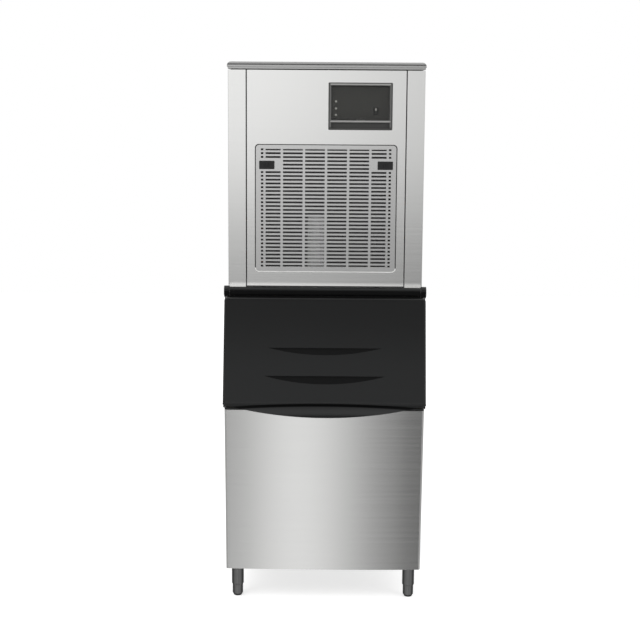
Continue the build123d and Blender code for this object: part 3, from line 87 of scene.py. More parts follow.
# Light tent, as positions from 0 to 1 and grey levels. Ahead of the machine the low and the high side run
# across, the upright runs up the high one, and the zone parts the two. The rest is beside and behind.
TENT_SIDE_SCALE = 1.6
TENT_HEIGHT_SCALE = 0.7
TENT_DEPTH_SCALE = 0.5
TENT_MIDDLE = 0.5
TENT_LOW_SIDE = (
    (0.0, 0.45), (0.10, 0.10), (0.25, 0.36), (0.34, 0.72), (0.42, 1.10), (0.50, 0.92), (0.58, 0.55),
    (0.68, 0.20), (0.80, 0.05), (0.88, 0.05), (1.0, 0.45),
)
TENT_HIGH_SIDE = ((0.0, 0.45), (0.22, 1.12), (0.42, 1.12), (0.62, 0.79), (0.8, 0.64))
TENT_UPRIGHT = (
    (0.30, 0.16), (0.40, 0.22), (0.43, 0.47), (0.46, 0.92), (0.50, 1.02), (0.64, 0.92), (0.72, 0.68),
    (0.77, 0.20), (0.82, 0.08),
)
TENT_ZONE = ((0.29, 0.0), (0.42, 1.0))
TENT_AHEAD = ((0.10, 0.0), (0.35, 1.0))
TENT_REST = ((0.25, 0.40), (0.45, 0.54), (0.60, 0.70), (0.80, 0.78))

# Lamps: name, place, what each points at, width and height, and power
LAMPS = (
    ("key_lamp", (-2.2, -3.0, 3.2), (0, 0, 0.9), (2.4, 2.4), 60),
    ("fill_lamp", (2.6, -2.2, 2.6), (0, 0, 0.8), (2.4, 2.4), 25),
)
FLOOR_HALF = 6.0
FLOOR_COLOUR = (0.9, 0.9, 0.9, 1)
FLOOR_LIFT = 0.55
WHITE = (1, 1, 1, 1)

# Brushed sheet: colours, and how far the streaks move colour, gloss and relief
STEEL_COLOUR = (0.80, 0.80, 0.79, 1)
STEEL_ROUGHNESS = 0.17
# The cap's colour is darker than the other steel's: painted shade, for the darker light its tilted face
# mirrors.
CAP_PAINTED_SHADE_COLOUR = (0.50, 0.50, 0.495, 1)
BRUSHED_UPRIGHT = (3, 3, 900)
BRUSHED_LEVEL = (3, 900, 3)
GRAIN_FINE = 1.0
GRAIN_BROAD = 0.16
GRAIN_DETAIL = 3
GRAIN_DARK = 0.93
GRAIN_LIGHT = 1.07
GRAIN_GLOSS = 0.06
GRAIN_RELIEF = 0.4 * MM

# Moulded faces
BLACK_PLASTIC = (0.0066, 0.0070, 0.0072, 1)
GRILLE_COLOUR = (0.67, 0.67, 0.665, 1)
PEBBLE_SCALE = 900.0
PEBBLE_DETAIL = 2
CLOUD_SCALE = 6.0
CLOUD_DETAIL = 4
MOULD_GLOSS = 0.05
MOULD_RELIEF = 0.2 * MM
SMOKE_FACE = (0.05, 0.05, 0.049, 1)
SMOKE_GLOSS = (0.10, 0.16)
SMOKE = (0.85, 0.85, 0.83, 1)
SMOKE_CLEARNESS = 0.68

# Door: its hinge and its lean, and the bowed crease that falls this far below the hinge along the face. A
# black line of painted shadow follows the crease, and the door is painted darker near its hinge and paler
# towards its foot, as painted light.
DOOR_LEAN = math.radians(15.8)
door_hinge = next(joint for joint in frame["joints"] if joint["name"] == "door_hinge")
HINGE_Y, HINGE_Z = door_hinge["pos_m"][1:]
CREASE_DROP = 0.320
CREASE_BOW = 0.15
CREASE_CORE = 0.0025
CREASE_FADE = 0.0060
CREASE_PAINTED_SHADOW = (0.0015, 0.0016, 0.0016, 1)
CREASE_PAINTED_SHADOW_MIRROR = (0.5, 0.08)
DOOR_PAINTED_LIGHT = (0.05, 0.24, 0.72, 1.45)

# Round metal: where its rims of painted reflection begin and end, and how metallic they stay
PAINTED_RIM_SPAN = (0.04, 0.42)
PAINTED_RIM_METAL = 0.2

# Meshes: when points are one, when faces are level and when an edge is sharp
MERGE = 1e-5
FLAT_ANGLE = math.radians(0.3)
SMOOTH_ANGLE = math.radians(32)
BEVEL_STEPS = 2
BAR_SIDES = 12
THREAD_SIDES = 6
THREAD_STEPS = 24


def image_camera():
    """The photograph's own viewpoint."""
    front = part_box("side_panel_left")[0].y
    ahead = Vector((
        -math.sin(CAMERA_YAW) * math.cos(CAMERA_PITCH),
        math.cos(CAMERA_YAW) * math.cos(CAMERA_PITCH),
        -math.sin(CAMERA_PITCH),
    ))
    level = Vector((math.cos(CAMERA_YAW), math.sin(CAMERA_YAW), 0))
    upright = level.cross(ahead)
    right = math.cos(CAMERA_ROLL) * level + math.sin(CAMERA_ROLL) * upright
    above = math.cos(CAMERA_ROLL) * upright - math.sin(CAMERA_ROLL) * level
    lens = bpy.data.cameras.new("photo_camera")
    lens.sensor_width = SENSOR_WIDTH
    lens.lens = FOCAL_PIXELS / IMAGE_PIXELS * SENSOR_WIDTH
    camera = bpy.data.objects.new("photo_camera", lens)
    bpy.context.scene.collection.objects.link(camera)
    turn = Matrix((right, above, -ahead)).transposed().to_4x4()
    camera.matrix_world = Matrix.Translation((CAMERA_SIDE, front - CAMERA_AHEAD, CAMERA_HEIGHT)) @ turn
    bpy.context.scene.camera = camera


def node_in(tree, kind, **settings):
    """A new node with its properties set."""
    made = tree.nodes.new(kind)
    for name, value in settings.items():
        setattr(made, name, value)
    return made


def math_in(tree, operation, first, second=None, third=None):
    """A maths node fed by sockets or plain numbers."""
    made = node_in(tree, "ShaderNodeMath", operation=operation)
    for slot, value in zip(made.inputs, (first, second, third)):
        if value is None:
            continue
        if isinstance(value, (int, float)):
            slot.default_value = value
        else:
            tree.links.new(value, slot)
    return made.outputs[0]


def ramp_in(tree, value, stops, smooth=True):
    """A grey level that follows a value along pairs of position and level."""
    ramp = node_in(tree, "ShaderNodeValToRGB")
    ramp.color_ramp.interpolation = "EASE" if smooth else "LINEAR"
    points = ramp.color_ramp.elements
    while len(points) < len(stops):
        points.new(0.5)
    for point, (position, level) in zip(points, stops):
        point.position = position
        point.color = (level, level, level, 1)
    tree.links.new(value, ramp.inputs[0])
    return ramp.outputs[0]


def blend_in(tree, factor, first, second):
    """A level between two, by a factor from 0 to 1."""
    mix = node_in(tree, "ShaderNodeMix", data_type="FLOAT")
    for slot, value in (("Factor", factor), ("A", first), ("B", second)):
        tree.links.new(value, mix.inputs[slot])
    return mix.outputs[0]


def studio():
    """The world: a tent with bands of light and dark for metal to mirror, and plain white for the eye."""
    world = bpy.data.worlds.new("light_tent")
    bpy.context.scene.world = world
    world.use_nodes = True
    tree = world.node_tree
    tree.nodes.clear()
    way = node_in(tree, "ShaderNodeTexCoord")
    parts = node_in(tree, "ShaderNodeSeparateXYZ")
    tree.links.new(way.outputs["Generated"], parts.inputs[0])
    across, depth, height = parts.outputs
    spread = math_in(tree, "MULTIPLY_ADD", across, TENT_SIDE_SCALE, TENT_MIDDLE)
    climb = math_in(tree, "MULTIPLY_ADD", height, TENT_HEIGHT_SCALE, TENT_MIDDLE)
    behind = math_in(tree, "MULTIPLY_ADD", depth, TENT_DEPTH_SCALE, TENT_MIDDLE)
    low = ramp_in(tree, spread, TENT_LOW_SIDE)
    high_side = ramp_in(tree, spread, TENT_HIGH_SIDE)
    upright = ramp_in(tree, climb, TENT_UPRIGHT, smooth=False)
    high = math_in(tree, "MULTIPLY", high_side, upright)
    front = blend_in(tree, ramp_in(tree, climb, TENT_ZONE), low, high)
    rest = ramp_in(tree, climb, TENT_REST)
    level = blend_in(tree, ramp_in(tree, behind, TENT_AHEAD), front, rest)
    tent = node_in(tree, "ShaderNodeBackground")
    tent.inputs["Color"].default_value = WHITE
    tree.links.new(level, tent.inputs["Strength"])
    white = node_in(tree, "ShaderNodeBackground")
    white.inputs["Color"].default_value = WHITE
    path = node_in(tree, "ShaderNodeLightPath")
    seen = math_in(tree, "MAXIMUM", path.outputs["Is Camera Ray"], path.outputs["Is Transmission Ray"])
    either = node_in(tree, "ShaderNodeMixShader")
    tree.links.new(seen, either.inputs[0])
    tree.links.new(tent.outputs[0], either.inputs[1])
    tree.links.new(white.outputs[0], either.inputs[2])
    out = node_in(tree, "ShaderNodeOutputWorld")
    tree.links.new(either.outputs[0], out.inputs[0])


def lamp(name, place, aim, size, power):
    """A soft square lamp that points at a place."""
    light = bpy.data.lights.new(name, "AREA")
    light.shape = "RECTANGLE"
    light.size, light.size_y = size
    light.energy = power
    made = bpy.data.objects.new(name, light)
    bpy.context.scene.collection.objects.link(made)
    made.location = place
    made.rotation_euler = (Vector(aim) - Vector(place)).to_track_quat("-Z", "Y").to_euler()
    made.visible_glossy = False


def floor():
    """A plain pale floor that keeps the soft shadow and is white to the eye."""
    mesh = bpy.data.meshes.new("floor")
    corners = [(x * FLOOR_HALF, y * FLOOR_HALF, 0) for x, y in ((-1, -1), (1, -1), (1, 1), (-1, 1))]
    mesh.from_pydata(corners, [], [(0, 1, 2, 3)])
    made = bpy.data.objects.new("floor", mesh)
    bpy.context.scene.collection.objects.link(made)
    pale = bpy.data.materials.new("pale_floor")
    pale.use_nodes = True
    tree = pale.node_tree
    tree.nodes.clear()
    matt = node_in(tree, "ShaderNodeBsdfDiffuse")
    matt.inputs["Color"].default_value = FLOOR_COLOUR
    glow = node_in(tree, "ShaderNodeEmission")
    glow.inputs["Color"].default_value = WHITE
    path = node_in(tree, "ShaderNodeLightPath")
    lift = math_in(tree, "MULTIPLY", path.outputs["Is Camera Ray"], FLOOR_LIFT)
    tree.links.new(lift, glow.inputs["Strength"])
    both = node_in(tree, "ShaderNodeAddShader")
    tree.links.new(matt.outputs[0], both.inputs[0])
    tree.links.new(glow.outputs[0], both.inputs[1])
    out = node_in(tree, "ShaderNodeOutputMaterial")
    tree.links.new(both.outputs[0], out.inputs[0])
    mesh.materials.append(pale)
    made.visible_glossy = False


def socket_for(group, name, way, kind="NodeSocketFloat", default=None):
    """A named input or output on a group."""
    made = group.interface.new_socket(name=name, in_out=way, socket_type=kind)
    if default is not None:
        made.default_value = default


def noises(group, settings):
    """Noise textures on a group's vector, from pairs of the input that scales each and its detail."""
    start = node_in(group, "NodeGroupInput").outputs
    levels = []
    for scale, detail in settings:
        noise = node_in(group, "ShaderNodeTexNoise")
        noise.inputs["Detail"].default_value = detail
        group.links.new(start["Vector"], noise.inputs["Vector"])
        group.links.new(start[scale], noise.inputs["Scale"])
        levels.append(noise.outputs[0])
    return levels


def grain_group():
    """Long fine streaks from brushing. The vector is stretched by the caller."""
    group = bpy.data.node_groups.new("brushed_grain", "ShaderNodeTree")
    socket_for(group, "Vector", "INPUT", "NodeSocketVector")
    socket_for(group, "Fine Scale", "INPUT", default=GRAIN_FINE)
    socket_for(group, "Broad Scale", "INPUT", default=GRAIN_BROAD)
    socket_for(group, "Streak", "OUTPUT")
    socket_for(group, "Height", "OUTPUT")
    fine, broad = noises(group, (("Fine Scale", GRAIN_DETAIL), ("Broad Scale", GRAIN_DETAIL)))
    end = node_in(group, "NodeGroupOutput").inputs
    group.links.new(fine, end["Height"])
    group.links.new(math_in(group, "MULTIPLY", math_in(group, "ADD", fine, broad), 0.5), end["Streak"])
    return group


def moulding_group():
    """The fine dull texture of a moulded face, with a slow unevenness in its gloss."""
    group = bpy.data.node_groups.new("moulded_face", "ShaderNodeTree")
    socket_for(group, "Vector", "INPUT", "NodeSocketVector")
    socket_for(group, "Pebble Scale", "INPUT", default=PEBBLE_SCALE)
    socket_for(group, "Cloud Scale", "INPUT", default=CLOUD_SCALE)
    socket_for(group, "Height", "OUTPUT")
    socket_for(group, "Cloud", "OUTPUT")
    pebble, cloud = noises(group, (("Pebble Scale", PEBBLE_DETAIL), ("Cloud Scale", CLOUD_DETAIL)))
    end = node_in(group, "NodeGroupOutput").inputs
    group.links.new(pebble, end["Height"])
    group.links.new(cloud, end["Cloud"])
    return group


def blank_finish(name):
    """A material with its Principled shader and the object's own coordinates."""
    finish = bpy.data.materials.new(name)
    finish.use_nodes = True
    tree = finish.node_tree
    tree.nodes.clear()
    shader = node_in(tree, "ShaderNodeBsdfPrincipled")
    out = node_in(tree, "ShaderNodeOutputMaterial")
    tree.links.new(shader.outputs[0], out.inputs[0])
    place = node_in(tree, "ShaderNodeTexCoord")
    return finish, tree, shader, place.outputs["Object"]


def effect_in(tree, group, vector, **scales):
    """A shader group placed in a material, with its vector, and its scales by the names of its inputs."""
    effect = node_in(tree, "ShaderNodeGroup")
    effect.node_tree = group
    for name, scale in scales.items():
        effect.inputs[name.replace("_", " ").title()].default_value = scale
    tree.links.new(vector, effect.inputs["Vector"])
    return effect.outputs


def stretched(tree, vector, scale):
    """The coordinates, scaled by three numbers."""
    mapping = node_in(tree, "ShaderNodeMapping")
    mapping.inputs["Scale"].default_value = scale
    tree.links.new(vector, mapping.inputs["Vector"])
    return mapping.outputs[0]


def level_between(tree, value, low, high):
    """A value from 0 to 1, turned into one from low to high."""
    spread = node_in(tree, "ShaderNodeMapRange")
    spread.inputs["To Min"].default_value = low
    spread.inputs["To Max"].default_value = high
    tree.links.new(value, spread.inputs["Value"])
    return spread.outputs[0]


def eased(tree, value, *limits):
    """A value eased from one level to another: where it starts and ends, and the level at each."""
    ease = node_in(tree, "ShaderNodeMapRange", interpolation_type="SMOOTHSTEP")
    for slot, number in zip(("From Min", "From Max", "To Min", "To Max"), limits):
        ease.inputs[slot].default_value = number
    tree.links.new(value, ease.inputs["Value"])
    return ease.outputs[0]


def colour_between(tree, value, first, second):
    """A colour between two by a value from 0 to 1. Each of them is a plain colour or a socket."""
    mix = node_in(tree, "ShaderNodeMix", data_type="RGBA")
    slots = [socket for socket in mix.inputs if socket.type == "RGBA"]
    for slot, colour in zip(slots, (first, second)):
        if isinstance(colour, tuple):
            slot.default_value = colour
        else:
            tree.links.new(colour, slot)
    tree.links.new(value, mix.inputs["Factor"])
    return next(socket for socket in mix.outputs if socket.type == "RGBA")


def bump_on(tree, shader, height, strength, distance):
    """Relief on the shader's normal."""
    bump = node_in(tree, "ShaderNodeBump")
    bump.inputs["Strength"].default_value = strength
    bump.inputs["Distance"].default_value = distance
    tree.links.new(height, bump.inputs["Height"])
    tree.links.new(bump.outputs[0], shader.inputs["Normal"])


def shade(colour, factor):
    """A colour made lighter or darker."""
    return tuple(channel * factor for channel in colour[:3]) + (1,)


def shader_of(finish):
    """The Principled shader of a finish."""
    return next(node for node in finish.node_tree.nodes if node.type == "BSDF_PRINCIPLED")


def brushed_steel(name, stretch, colour=STEEL_COLOUR, roughness=STEEL_ROUGHNESS, relief=0.05):
    """Stainless sheet with its brushing along the axes that have a small stretch."""
    finish, tree, shader, place = blank_finish(name)
    vector = stretched(tree, place, stretch)
    grain = effect_in(tree, GRAIN, vector, fine_scale=GRAIN_FINE, broad_scale=GRAIN_BROAD)
    streak = grain["Streak"]
    paint = colour_between(tree, streak, shade(colour, GRAIN_DARK), shade(colour, GRAIN_LIGHT))
    gloss = level_between(tree, streak, roughness - GRAIN_GLOSS, roughness + GRAIN_GLOSS)
    tree.links.new(paint, shader.inputs["Base Color"])
    tree.links.new(gloss, shader.inputs["Roughness"])
    shader.inputs["Metallic"].default_value = 1
    bump_on(tree, shader, grain["Height"], relief, GRAIN_RELIEF)
    return finish


def moulded(name, colour, roughness, pebble=PEBBLE_SCALE, relief=0.15, contrast=0.12):
    """Moulded plastic or rubber, or an even painted face."""
    finish, tree, shader, place = blank_finish(name)
    face = effect_in(tree, MOULDING, place, pebble_scale=pebble)
    cloud = face["Cloud"]
    paint = colour_between(tree, cloud, shade(colour, 1 - contrast), shade(colour, 1 + contrast))
    gloss = level_between(tree, cloud, roughness - MOULD_GLOSS, roughness + MOULD_GLOSS)
    tree.links.new(paint, shader.inputs["Base Color"])
    tree.links.new(gloss, shader.inputs["Roughness"])
    bump_on(tree, shader, face["Height"], relief, MOULD_RELIEF)
    return finish


def dulled_as_painted_shade(finish, mirror):
    """Painted shade: a finish that mirrors less than plain plastic does, as in a deep shadow."""
    shader_of(finish).inputs["Specular IOR Level"].default_value = mirror
    return finish


def painted_glow(finish, colour, strength):
    """Painted light: a faint glow of the finish's own, though it is no lamp, which keeps small pale things as
    bright as they look.
    """
    shader = shader_of(finish)
    shader.inputs["Emission Color"].default_value = colour
    shader.inputs["Emission Strength"].default_value = strength
    return finish


def door_with_painted_light(name, colour, roughness):
    """The door's moulding with painted light: darker near its hinge, paler towards its foot, and a painted
    shadow in black along the bowed crease above the grip.
    """
    finish = moulded(name, colour, roughness, relief=0.06)
    tree = finish.node_tree
    shader = shader_of(finish)
    place = next(node for node in tree.nodes if node.type == "TEX_COORD").outputs["Object"]
    parts = node_in(tree, "ShaderNodeSeparateXYZ")
    tree.links.new(place, parts.inputs[0])
    across, depth, height = parts.outputs
    start = HINGE_Y * math.sin(DOOR_LEAN) + HINGE_Z * math.cos(DOOR_LEAN)
    slope = math_in(tree, "MULTIPLY_ADD", depth, -math.sin(DOOR_LEAN), start)
    down = math_in(tree, "MULTIPLY_ADD", height, -math.cos(DOOR_LEAN), slope)
    bow = math_in(tree, "MULTIPLY_ADD", math_in(tree, "MULTIPLY", across, across), CREASE_BOW, CREASE_DROP)
    away = math_in(tree, "ABSOLUTE", math_in(tree, "SUBTRACT", down, bow))
    # Painted shadow along the crease, and painted light that grows paler towards the foot
    line = eased(tree, away, CREASE_CORE, CREASE_FADE, 1, 0)
    painted_paleness = node_in(tree, "ShaderNodeVectorMath", operation="SCALE")
    tree.links.new(shader.inputs["Base Color"].links[0].from_socket, painted_paleness.inputs[0])
    tree.links.new(eased(tree, down, *DOOR_PAINTED_LIGHT), painted_paleness.inputs["Scale"])
    paint = colour_between(tree, line, painted_paleness.outputs[0], CREASE_PAINTED_SHADOW)
    tree.links.new(paint, shader.inputs["Base Color"])
    tree.links.new(level_between(tree, line, *CREASE_PAINTED_SHADOW_MIRROR), shader.inputs["Specular IOR Level"])
    return finish


def metal_cast(name, colour, roughness, pebble=500.0, relief=0.1):
    """Copper, brass, zinc or aluminium with an even fine face."""
    finish = moulded(name, colour, roughness, pebble, relief, contrast=0.08)
    shader_of(finish).inputs["Metallic"].default_value = 1
    return finish


def metal_with_painted_rims(name, middle, rim, roughness):
    """Bright round metal with a painted reflection: its colour turns dark towards its rims, for the dark
    surroundings it would mirror there.
    """
    finish = metal_cast(name, middle, roughness)
    tree = finish.node_tree
    shader = shader_of(finish)
    facing = node_in(tree, "ShaderNodeLayerWeight")
    turned = eased(tree, facing.outputs["Facing"], *PAINTED_RIM_SPAN, 0, 1)
    paint = colour_between(tree, turned, shader.inputs["Base Color"].links[0].from_socket, rim)
    tree.links.new(paint, shader.inputs["Base Color"])
    tree.links.new(level_between(tree, turned, 1, PAINTED_RIM_METAL), shader.inputs["Metallic"])
    return finish


def smoked_cover(name):
    """Clear dark plastic: it dims what lies behind it and has a soft sheen."""
    finish, tree, shader, place = blank_finish(name)
    cloud = effect_in(tree, MOULDING, place)["Cloud"]
    shader.inputs["Base Color"].default_value = SMOKE_FACE
    tree.links.new(level_between(tree, cloud, *SMOKE_GLOSS), shader.inputs["Roughness"])
    clear = node_in(tree, "ShaderNodeBsdfTransparent")
    clear.inputs["Color"].default_value = SMOKE
    both = node_in(tree, "ShaderNodeMixShader")
    both.inputs[0].default_value = SMOKE_CLEARNESS
    out = next(node for node in tree.nodes if node.type == "OUTPUT_MATERIAL")
    tree.links.new(shader.outputs[0], both.inputs[1])
    tree.links.new(clear.outputs[0], both.inputs[2])
    tree.links.new(both.outputs[0], out.inputs[0])
    return finish


def give(finish, *names):
    """Puts a finish on CAD nodes."""
    for name in names:
        mesh = nodes[name].data
        mesh.materials.clear()
        mesh.materials.append(finish)


def linked(name, mesh):
    """A new object in the scene, at the origin."""
    piece = bpy.data.objects.new(name, mesh)
    bpy.context.scene.collection.objects.link(piece)
    return piece


def baked(piece):
    """Turns the piece's live modifiers into plain mesh."""
    bpy.context.view_layer.update()
    graph = bpy.context.evaluated_depsgraph_get()
    mesh = bpy.data.meshes.new_from_object(piece.evaluated_get(graph), depsgraph=graph)
    piece.modifiers.clear()
    piece.data = mesh
    return piece


def settle(piece, body):
    """Lets a finished piece move with its body."""
    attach(piece, body)


def mesh_from(form, name):
    """A form's finished mesh."""
    mesh = bpy.data.meshes.new(name)
    form.to_mesh(mesh)
    form.free()
    return mesh


def softened(name, width):
    """A copy of a CAD node, joined up, smooth where it curves and with its sharp edges rounded."""
    node = nodes[name]
    form = bmesh.new()
    form.from_mesh(node.data)
    bmesh.ops.remove_doubles(form, verts=form.verts[:], dist=MERGE)
    bmesh.ops.dissolve_limit(form, angle_limit=FLAT_ANGLE, verts=form.verts[:], edges=form.edges[:])
    for edge in form.edges:
        edge.smooth = len(edge.link_faces) == 2 and edge.calc_face_angle() < SMOOTH_ANGLE
    for face in form.faces:
        face.smooth = True
    piece = linked(name + "_soft", mesh_from(form, name + "_soft"))
    for finish in node.data.materials:
        piece.data.materials.append(finish)
    bevel = piece.modifiers.new("soft_edges", "BEVEL")
    bevel.width = width
    bevel.segments = BEVEL_STEPS
    bevel.limit_method = "ANGLE"
    bevel.angle_limit = SMOOTH_ANGLE
    even = piece.modifiers.new("even_faces", "WEIGHTED_NORMAL")
    even.mode = "FACE_AREA_WITH_ANGLE"
    even.keep_sharp = True
    baked(piece)
    settle(piece, body_of(node)[0])
    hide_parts(name)


def growth_tree(name, sizes):
    """An empty geometry tree with named inputs, for what repeats."""
    group = bpy.data.node_groups.new(name, "GeometryNodeTree")
    group.is_modifier = True
    socket_for(group, "Geometry", "INPUT", "NodeSocketGeometry")
    for label, kind, default in sizes:
        socket_for(group, label, "INPUT", kind, default)
    socket_for(group, "Finish", "INPUT", "NodeSocketMaterial")
    socket_for(group, "Geometry", "OUTPUT", "NodeSocketGeometry")
    return group, node_in(group, "NodeGroupInput").outputs, node_in(group, "NodeGroupOutput")


def close_tree(group, geometry, start, end, smooth=True):
    """Realizes the copies, gives them their finish and leads them out."""
    real = node_in(group, "GeometryNodeRealizeInstances")
    shaded = node_in(group, "GeometryNodeSetShadeSmooth")
    painted = node_in(group, "GeometryNodeSetMaterial")
    shaded.inputs["Shade Smooth"].default_value = smooth
    group.links.new(geometry, real.inputs["Geometry"])
    group.links.new(real.outputs["Geometry"], shaded.inputs["Geometry"])
    group.links.new(shaded.outputs["Geometry"], painted.inputs["Geometry"])
    group.links.new(start["Finish"], painted.inputs["Material"])
    group.links.new(painted.outputs["Geometry"], end.inputs[0])


def round_bar(group, path, radius, sides):
    """A closed round bar along a curve."""
    ring = node_in(group, "GeometryNodeCurvePrimitiveCircle")
    ring.inputs["Resolution"].default_value = sides
    group.links.new(radius, ring.inputs["Radius"])
    bar = node_in(group, "GeometryNodeCurveToMesh")
    bar.inputs["Fill Caps"].default_value = True
    group.links.new(path, bar.inputs["Curve"])
    group.links.new(ring.outputs[0], bar.inputs["Profile Curve"])
    return bar.outputs[0]


def placed_at(group, geometry, place, turn=(0, 0, 0)):
    """Geometry turned and then moved to a place."""
    placed = node_in(group, "GeometryNodeTransform")
    placed.inputs["Rotation"].default_value = turn
    group.links.new(geometry, placed.inputs["Geometry"])
    group.links.new(place, placed.inputs["Translation"])
    return placed.outputs[0]


def copied_on(group, points, form):
    """The node that sets copies of a form on points."""
    row = node_in(group, "GeometryNodeInstanceOnPoints")
    group.links.new(points, row.inputs["Points"])
    group.links.new(form, row.inputs["Instance"])
    return row


def weave_tree():
    """Two crossed layers of fine straight wires."""
    group, start, end = growth_tree("filter_weave", (
        ("Wires Across", "NodeSocketInt", 10),
        ("Wires Up", "NodeSocketInt", 10),
        ("Pitch", "NodeSocketFloat", 0.004),
        ("Wire", "NodeSocketFloat", 0.0005),
        ("Width", "NodeSocketFloat", 0.3),
        ("Height", "NodeSocketFloat", 0.3),
        ("Place", "NodeSocketVector", (0, 0, 0)),
    ))
    both = node_in(group, "GeometryNodeJoinGeometry")
    layers = (("Wires Across", "Height", 0, -0.5), ("Wires Up", "Width", 2, 0.5))
    for count, length, axis, layer in layers:
        size = node_in(group, "ShaderNodeCombineXYZ")
        for way, slot in enumerate(size.inputs):
            group.links.new(start[length if way == 2 - axis else "Wire"], slot)
        wire = node_in(group, "GeometryNodeMeshCube")
        group.links.new(size.outputs[0], wire.inputs["Size"])
        step = node_in(group, "ShaderNodeCombineXYZ")
        group.links.new(start["Pitch"], step.inputs[axis])
        first = node_in(group, "ShaderNodeCombineXYZ")
        gaps = math_in(group, "SUBTRACT", start[count], 1)
        half = math_in(group, "MULTIPLY", math_in(group, "MULTIPLY", gaps, start["Pitch"]), -0.5)
        group.links.new(half, first.inputs[axis])
        group.links.new(math_in(group, "MULTIPLY", start["Wire"], layer), first.inputs[1])
        line = node_in(group, "GeometryNodeMeshLine", mode="OFFSET")
        group.links.new(start[count], line.inputs["Count"])
        group.links.new(first.outputs[0], line.inputs["Start Location"])
        group.links.new(step.outputs[0], line.inputs["Offset"])
        row = copied_on(group, line.outputs["Mesh"], wire.outputs["Mesh"])
        group.links.new(row.outputs["Instances"], both.inputs[0])
    close_tree(group, placed_at(group, both.outputs[0], start["Place"]), start, end, smooth=False)
    return group


def copies_tree():
    """One form set on every loose point, all turned the same way."""
    group, start, end = growth_tree("copies_on_points", (
        ("Form", "NodeSocketObject", None),
        ("Turn", "NodeSocketRotation", None),
    ))
    form = node_in(group, "GeometryNodeObjectInfo")
    group.links.new(start["Form"], form.inputs["Object"])
    row = copied_on(group, start["Geometry"], form.outputs["Geometry"])
    group.links.new(start["Turn"], row.inputs["Rotation"])
    close_tree(group, row.outputs["Instances"], start, end, smooth=False)
    return group


def thread_tree():
    """A round ridge wound along the Y axis."""
    group, start, end = growth_tree("thread_ridge", (
        ("Radius", "NodeSocketFloat", 0.013),
        ("Turns", "NodeSocketFloat", 8.0),
        ("Length", "NodeSocketFloat", 0.016),
        ("Ridge", "NodeSocketFloat", 0.0006),
        ("Place", "NodeSocketVector", (0, 0, 0)),
    ))
    coil = node_in(group, "GeometryNodeCurveSpiral")
    coil.inputs["Resolution"].default_value = THREAD_STEPS
    group.links.new(start["Turns"], coil.inputs["Rotations"])
    group.links.new(start["Radius"], coil.inputs["Start Radius"])
    group.links.new(start["Radius"], coil.inputs["End Radius"])
    group.links.new(start["Length"], coil.inputs["Height"])
    ridge = round_bar(group, coil.outputs[0], start["Ridge"], THREAD_SIDES)
    close_tree(group, placed_at(group, ridge, start["Place"], (-math.pi / 2, 0, 0)), start, end)
    return group


def bars_tree():
    """A low rounded bar along every edge of the given mesh."""
    group, start, end = growth_tree("rounded_bars", (
        ("Half Width", "NodeSocketFloat", 0.002),
    ))
    path = node_in(group, "GeometryNodeMeshToCurve")
    group.links.new(start["Geometry"], path.inputs["Mesh"])
    close_tree(group, round_bar(group, path.outputs[0], start["Half Width"], BAR_SIDES), start, end)
    return group


def grown(name, group, mesh, finish, sizes):
    """A piece made by a geometry tree from a mesh and the tree's named sizes."""
    piece = linked(name, mesh)
    maker = piece.modifiers.new("growth", "NODES")
    maker.node_group = group
    for item in group.interface.items_tree:
        if item.item_type == "SOCKET" and item.in_out == "INPUT":
            if item.name == "Finish":
                maker[item.identifier] = finish
            elif item.name in sizes:
                maker[item.identifier] = sizes[item.name]
    return baked(piece)


def spots(name, places):
    """A mesh of loose points."""
    mesh = bpy.data.meshes.new(name)
    mesh.from_pydata([tuple(place) for place in places], [], [])
    return mesh


def ring_faces(form, rings):
    """Faces between closed rings of points, and one over each end."""
    count = len(rings[0])
    for low, high in zip(rings, rings[1:]):
        for step in range(count):
            after = (step + 1) % count
            form.faces.new((low[step], low[after], high[after], high[step]))
    form.faces.new(rings[0][::-1])
    form.faces.new(rings[-1])


AXIS_REACH = 17 * MM
AXIS_TOP = 3 * MM
PAINTED_SHADOW_INDEX = 1
SCOOP_SHADE_INDEX = 2


def shadowed_hinge():
    """Paints a deep shadow on the lower half of the hinge barrel and on the ears, with a darker black finish.
    """
    for name in ("door_soft", "door_frame_soft"):
        mesh = bpy.data.objects[name].data
        mesh.materials.append(painted_shadow_black)
        all_round = name == "door_frame_soft"
        for face in mesh.polygons:
            near = math.hypot(face.center.y - HINGE_Y, face.center.z - HINGE_Z) < AXIS_REACH
            if near and face.center.z < HINGE_Z + AXIS_TOP and (all_round or face.center.y < HINGE_Y):
                face.material_index = PAINTED_SHADOW_INDEX


SCOOP_TOP = 130 * MM
SCOOP_FOOT = 290 * MM
SCOOP_SKIN = 0.9 * MM
SCOOP_DEEP = 9.5 * MM
SCOOP_REACH = 200 * MM
SCOOP_STEEP = 0.8
SIDE_FACING = 0.3
SIDE_STRIP = 3 * MM


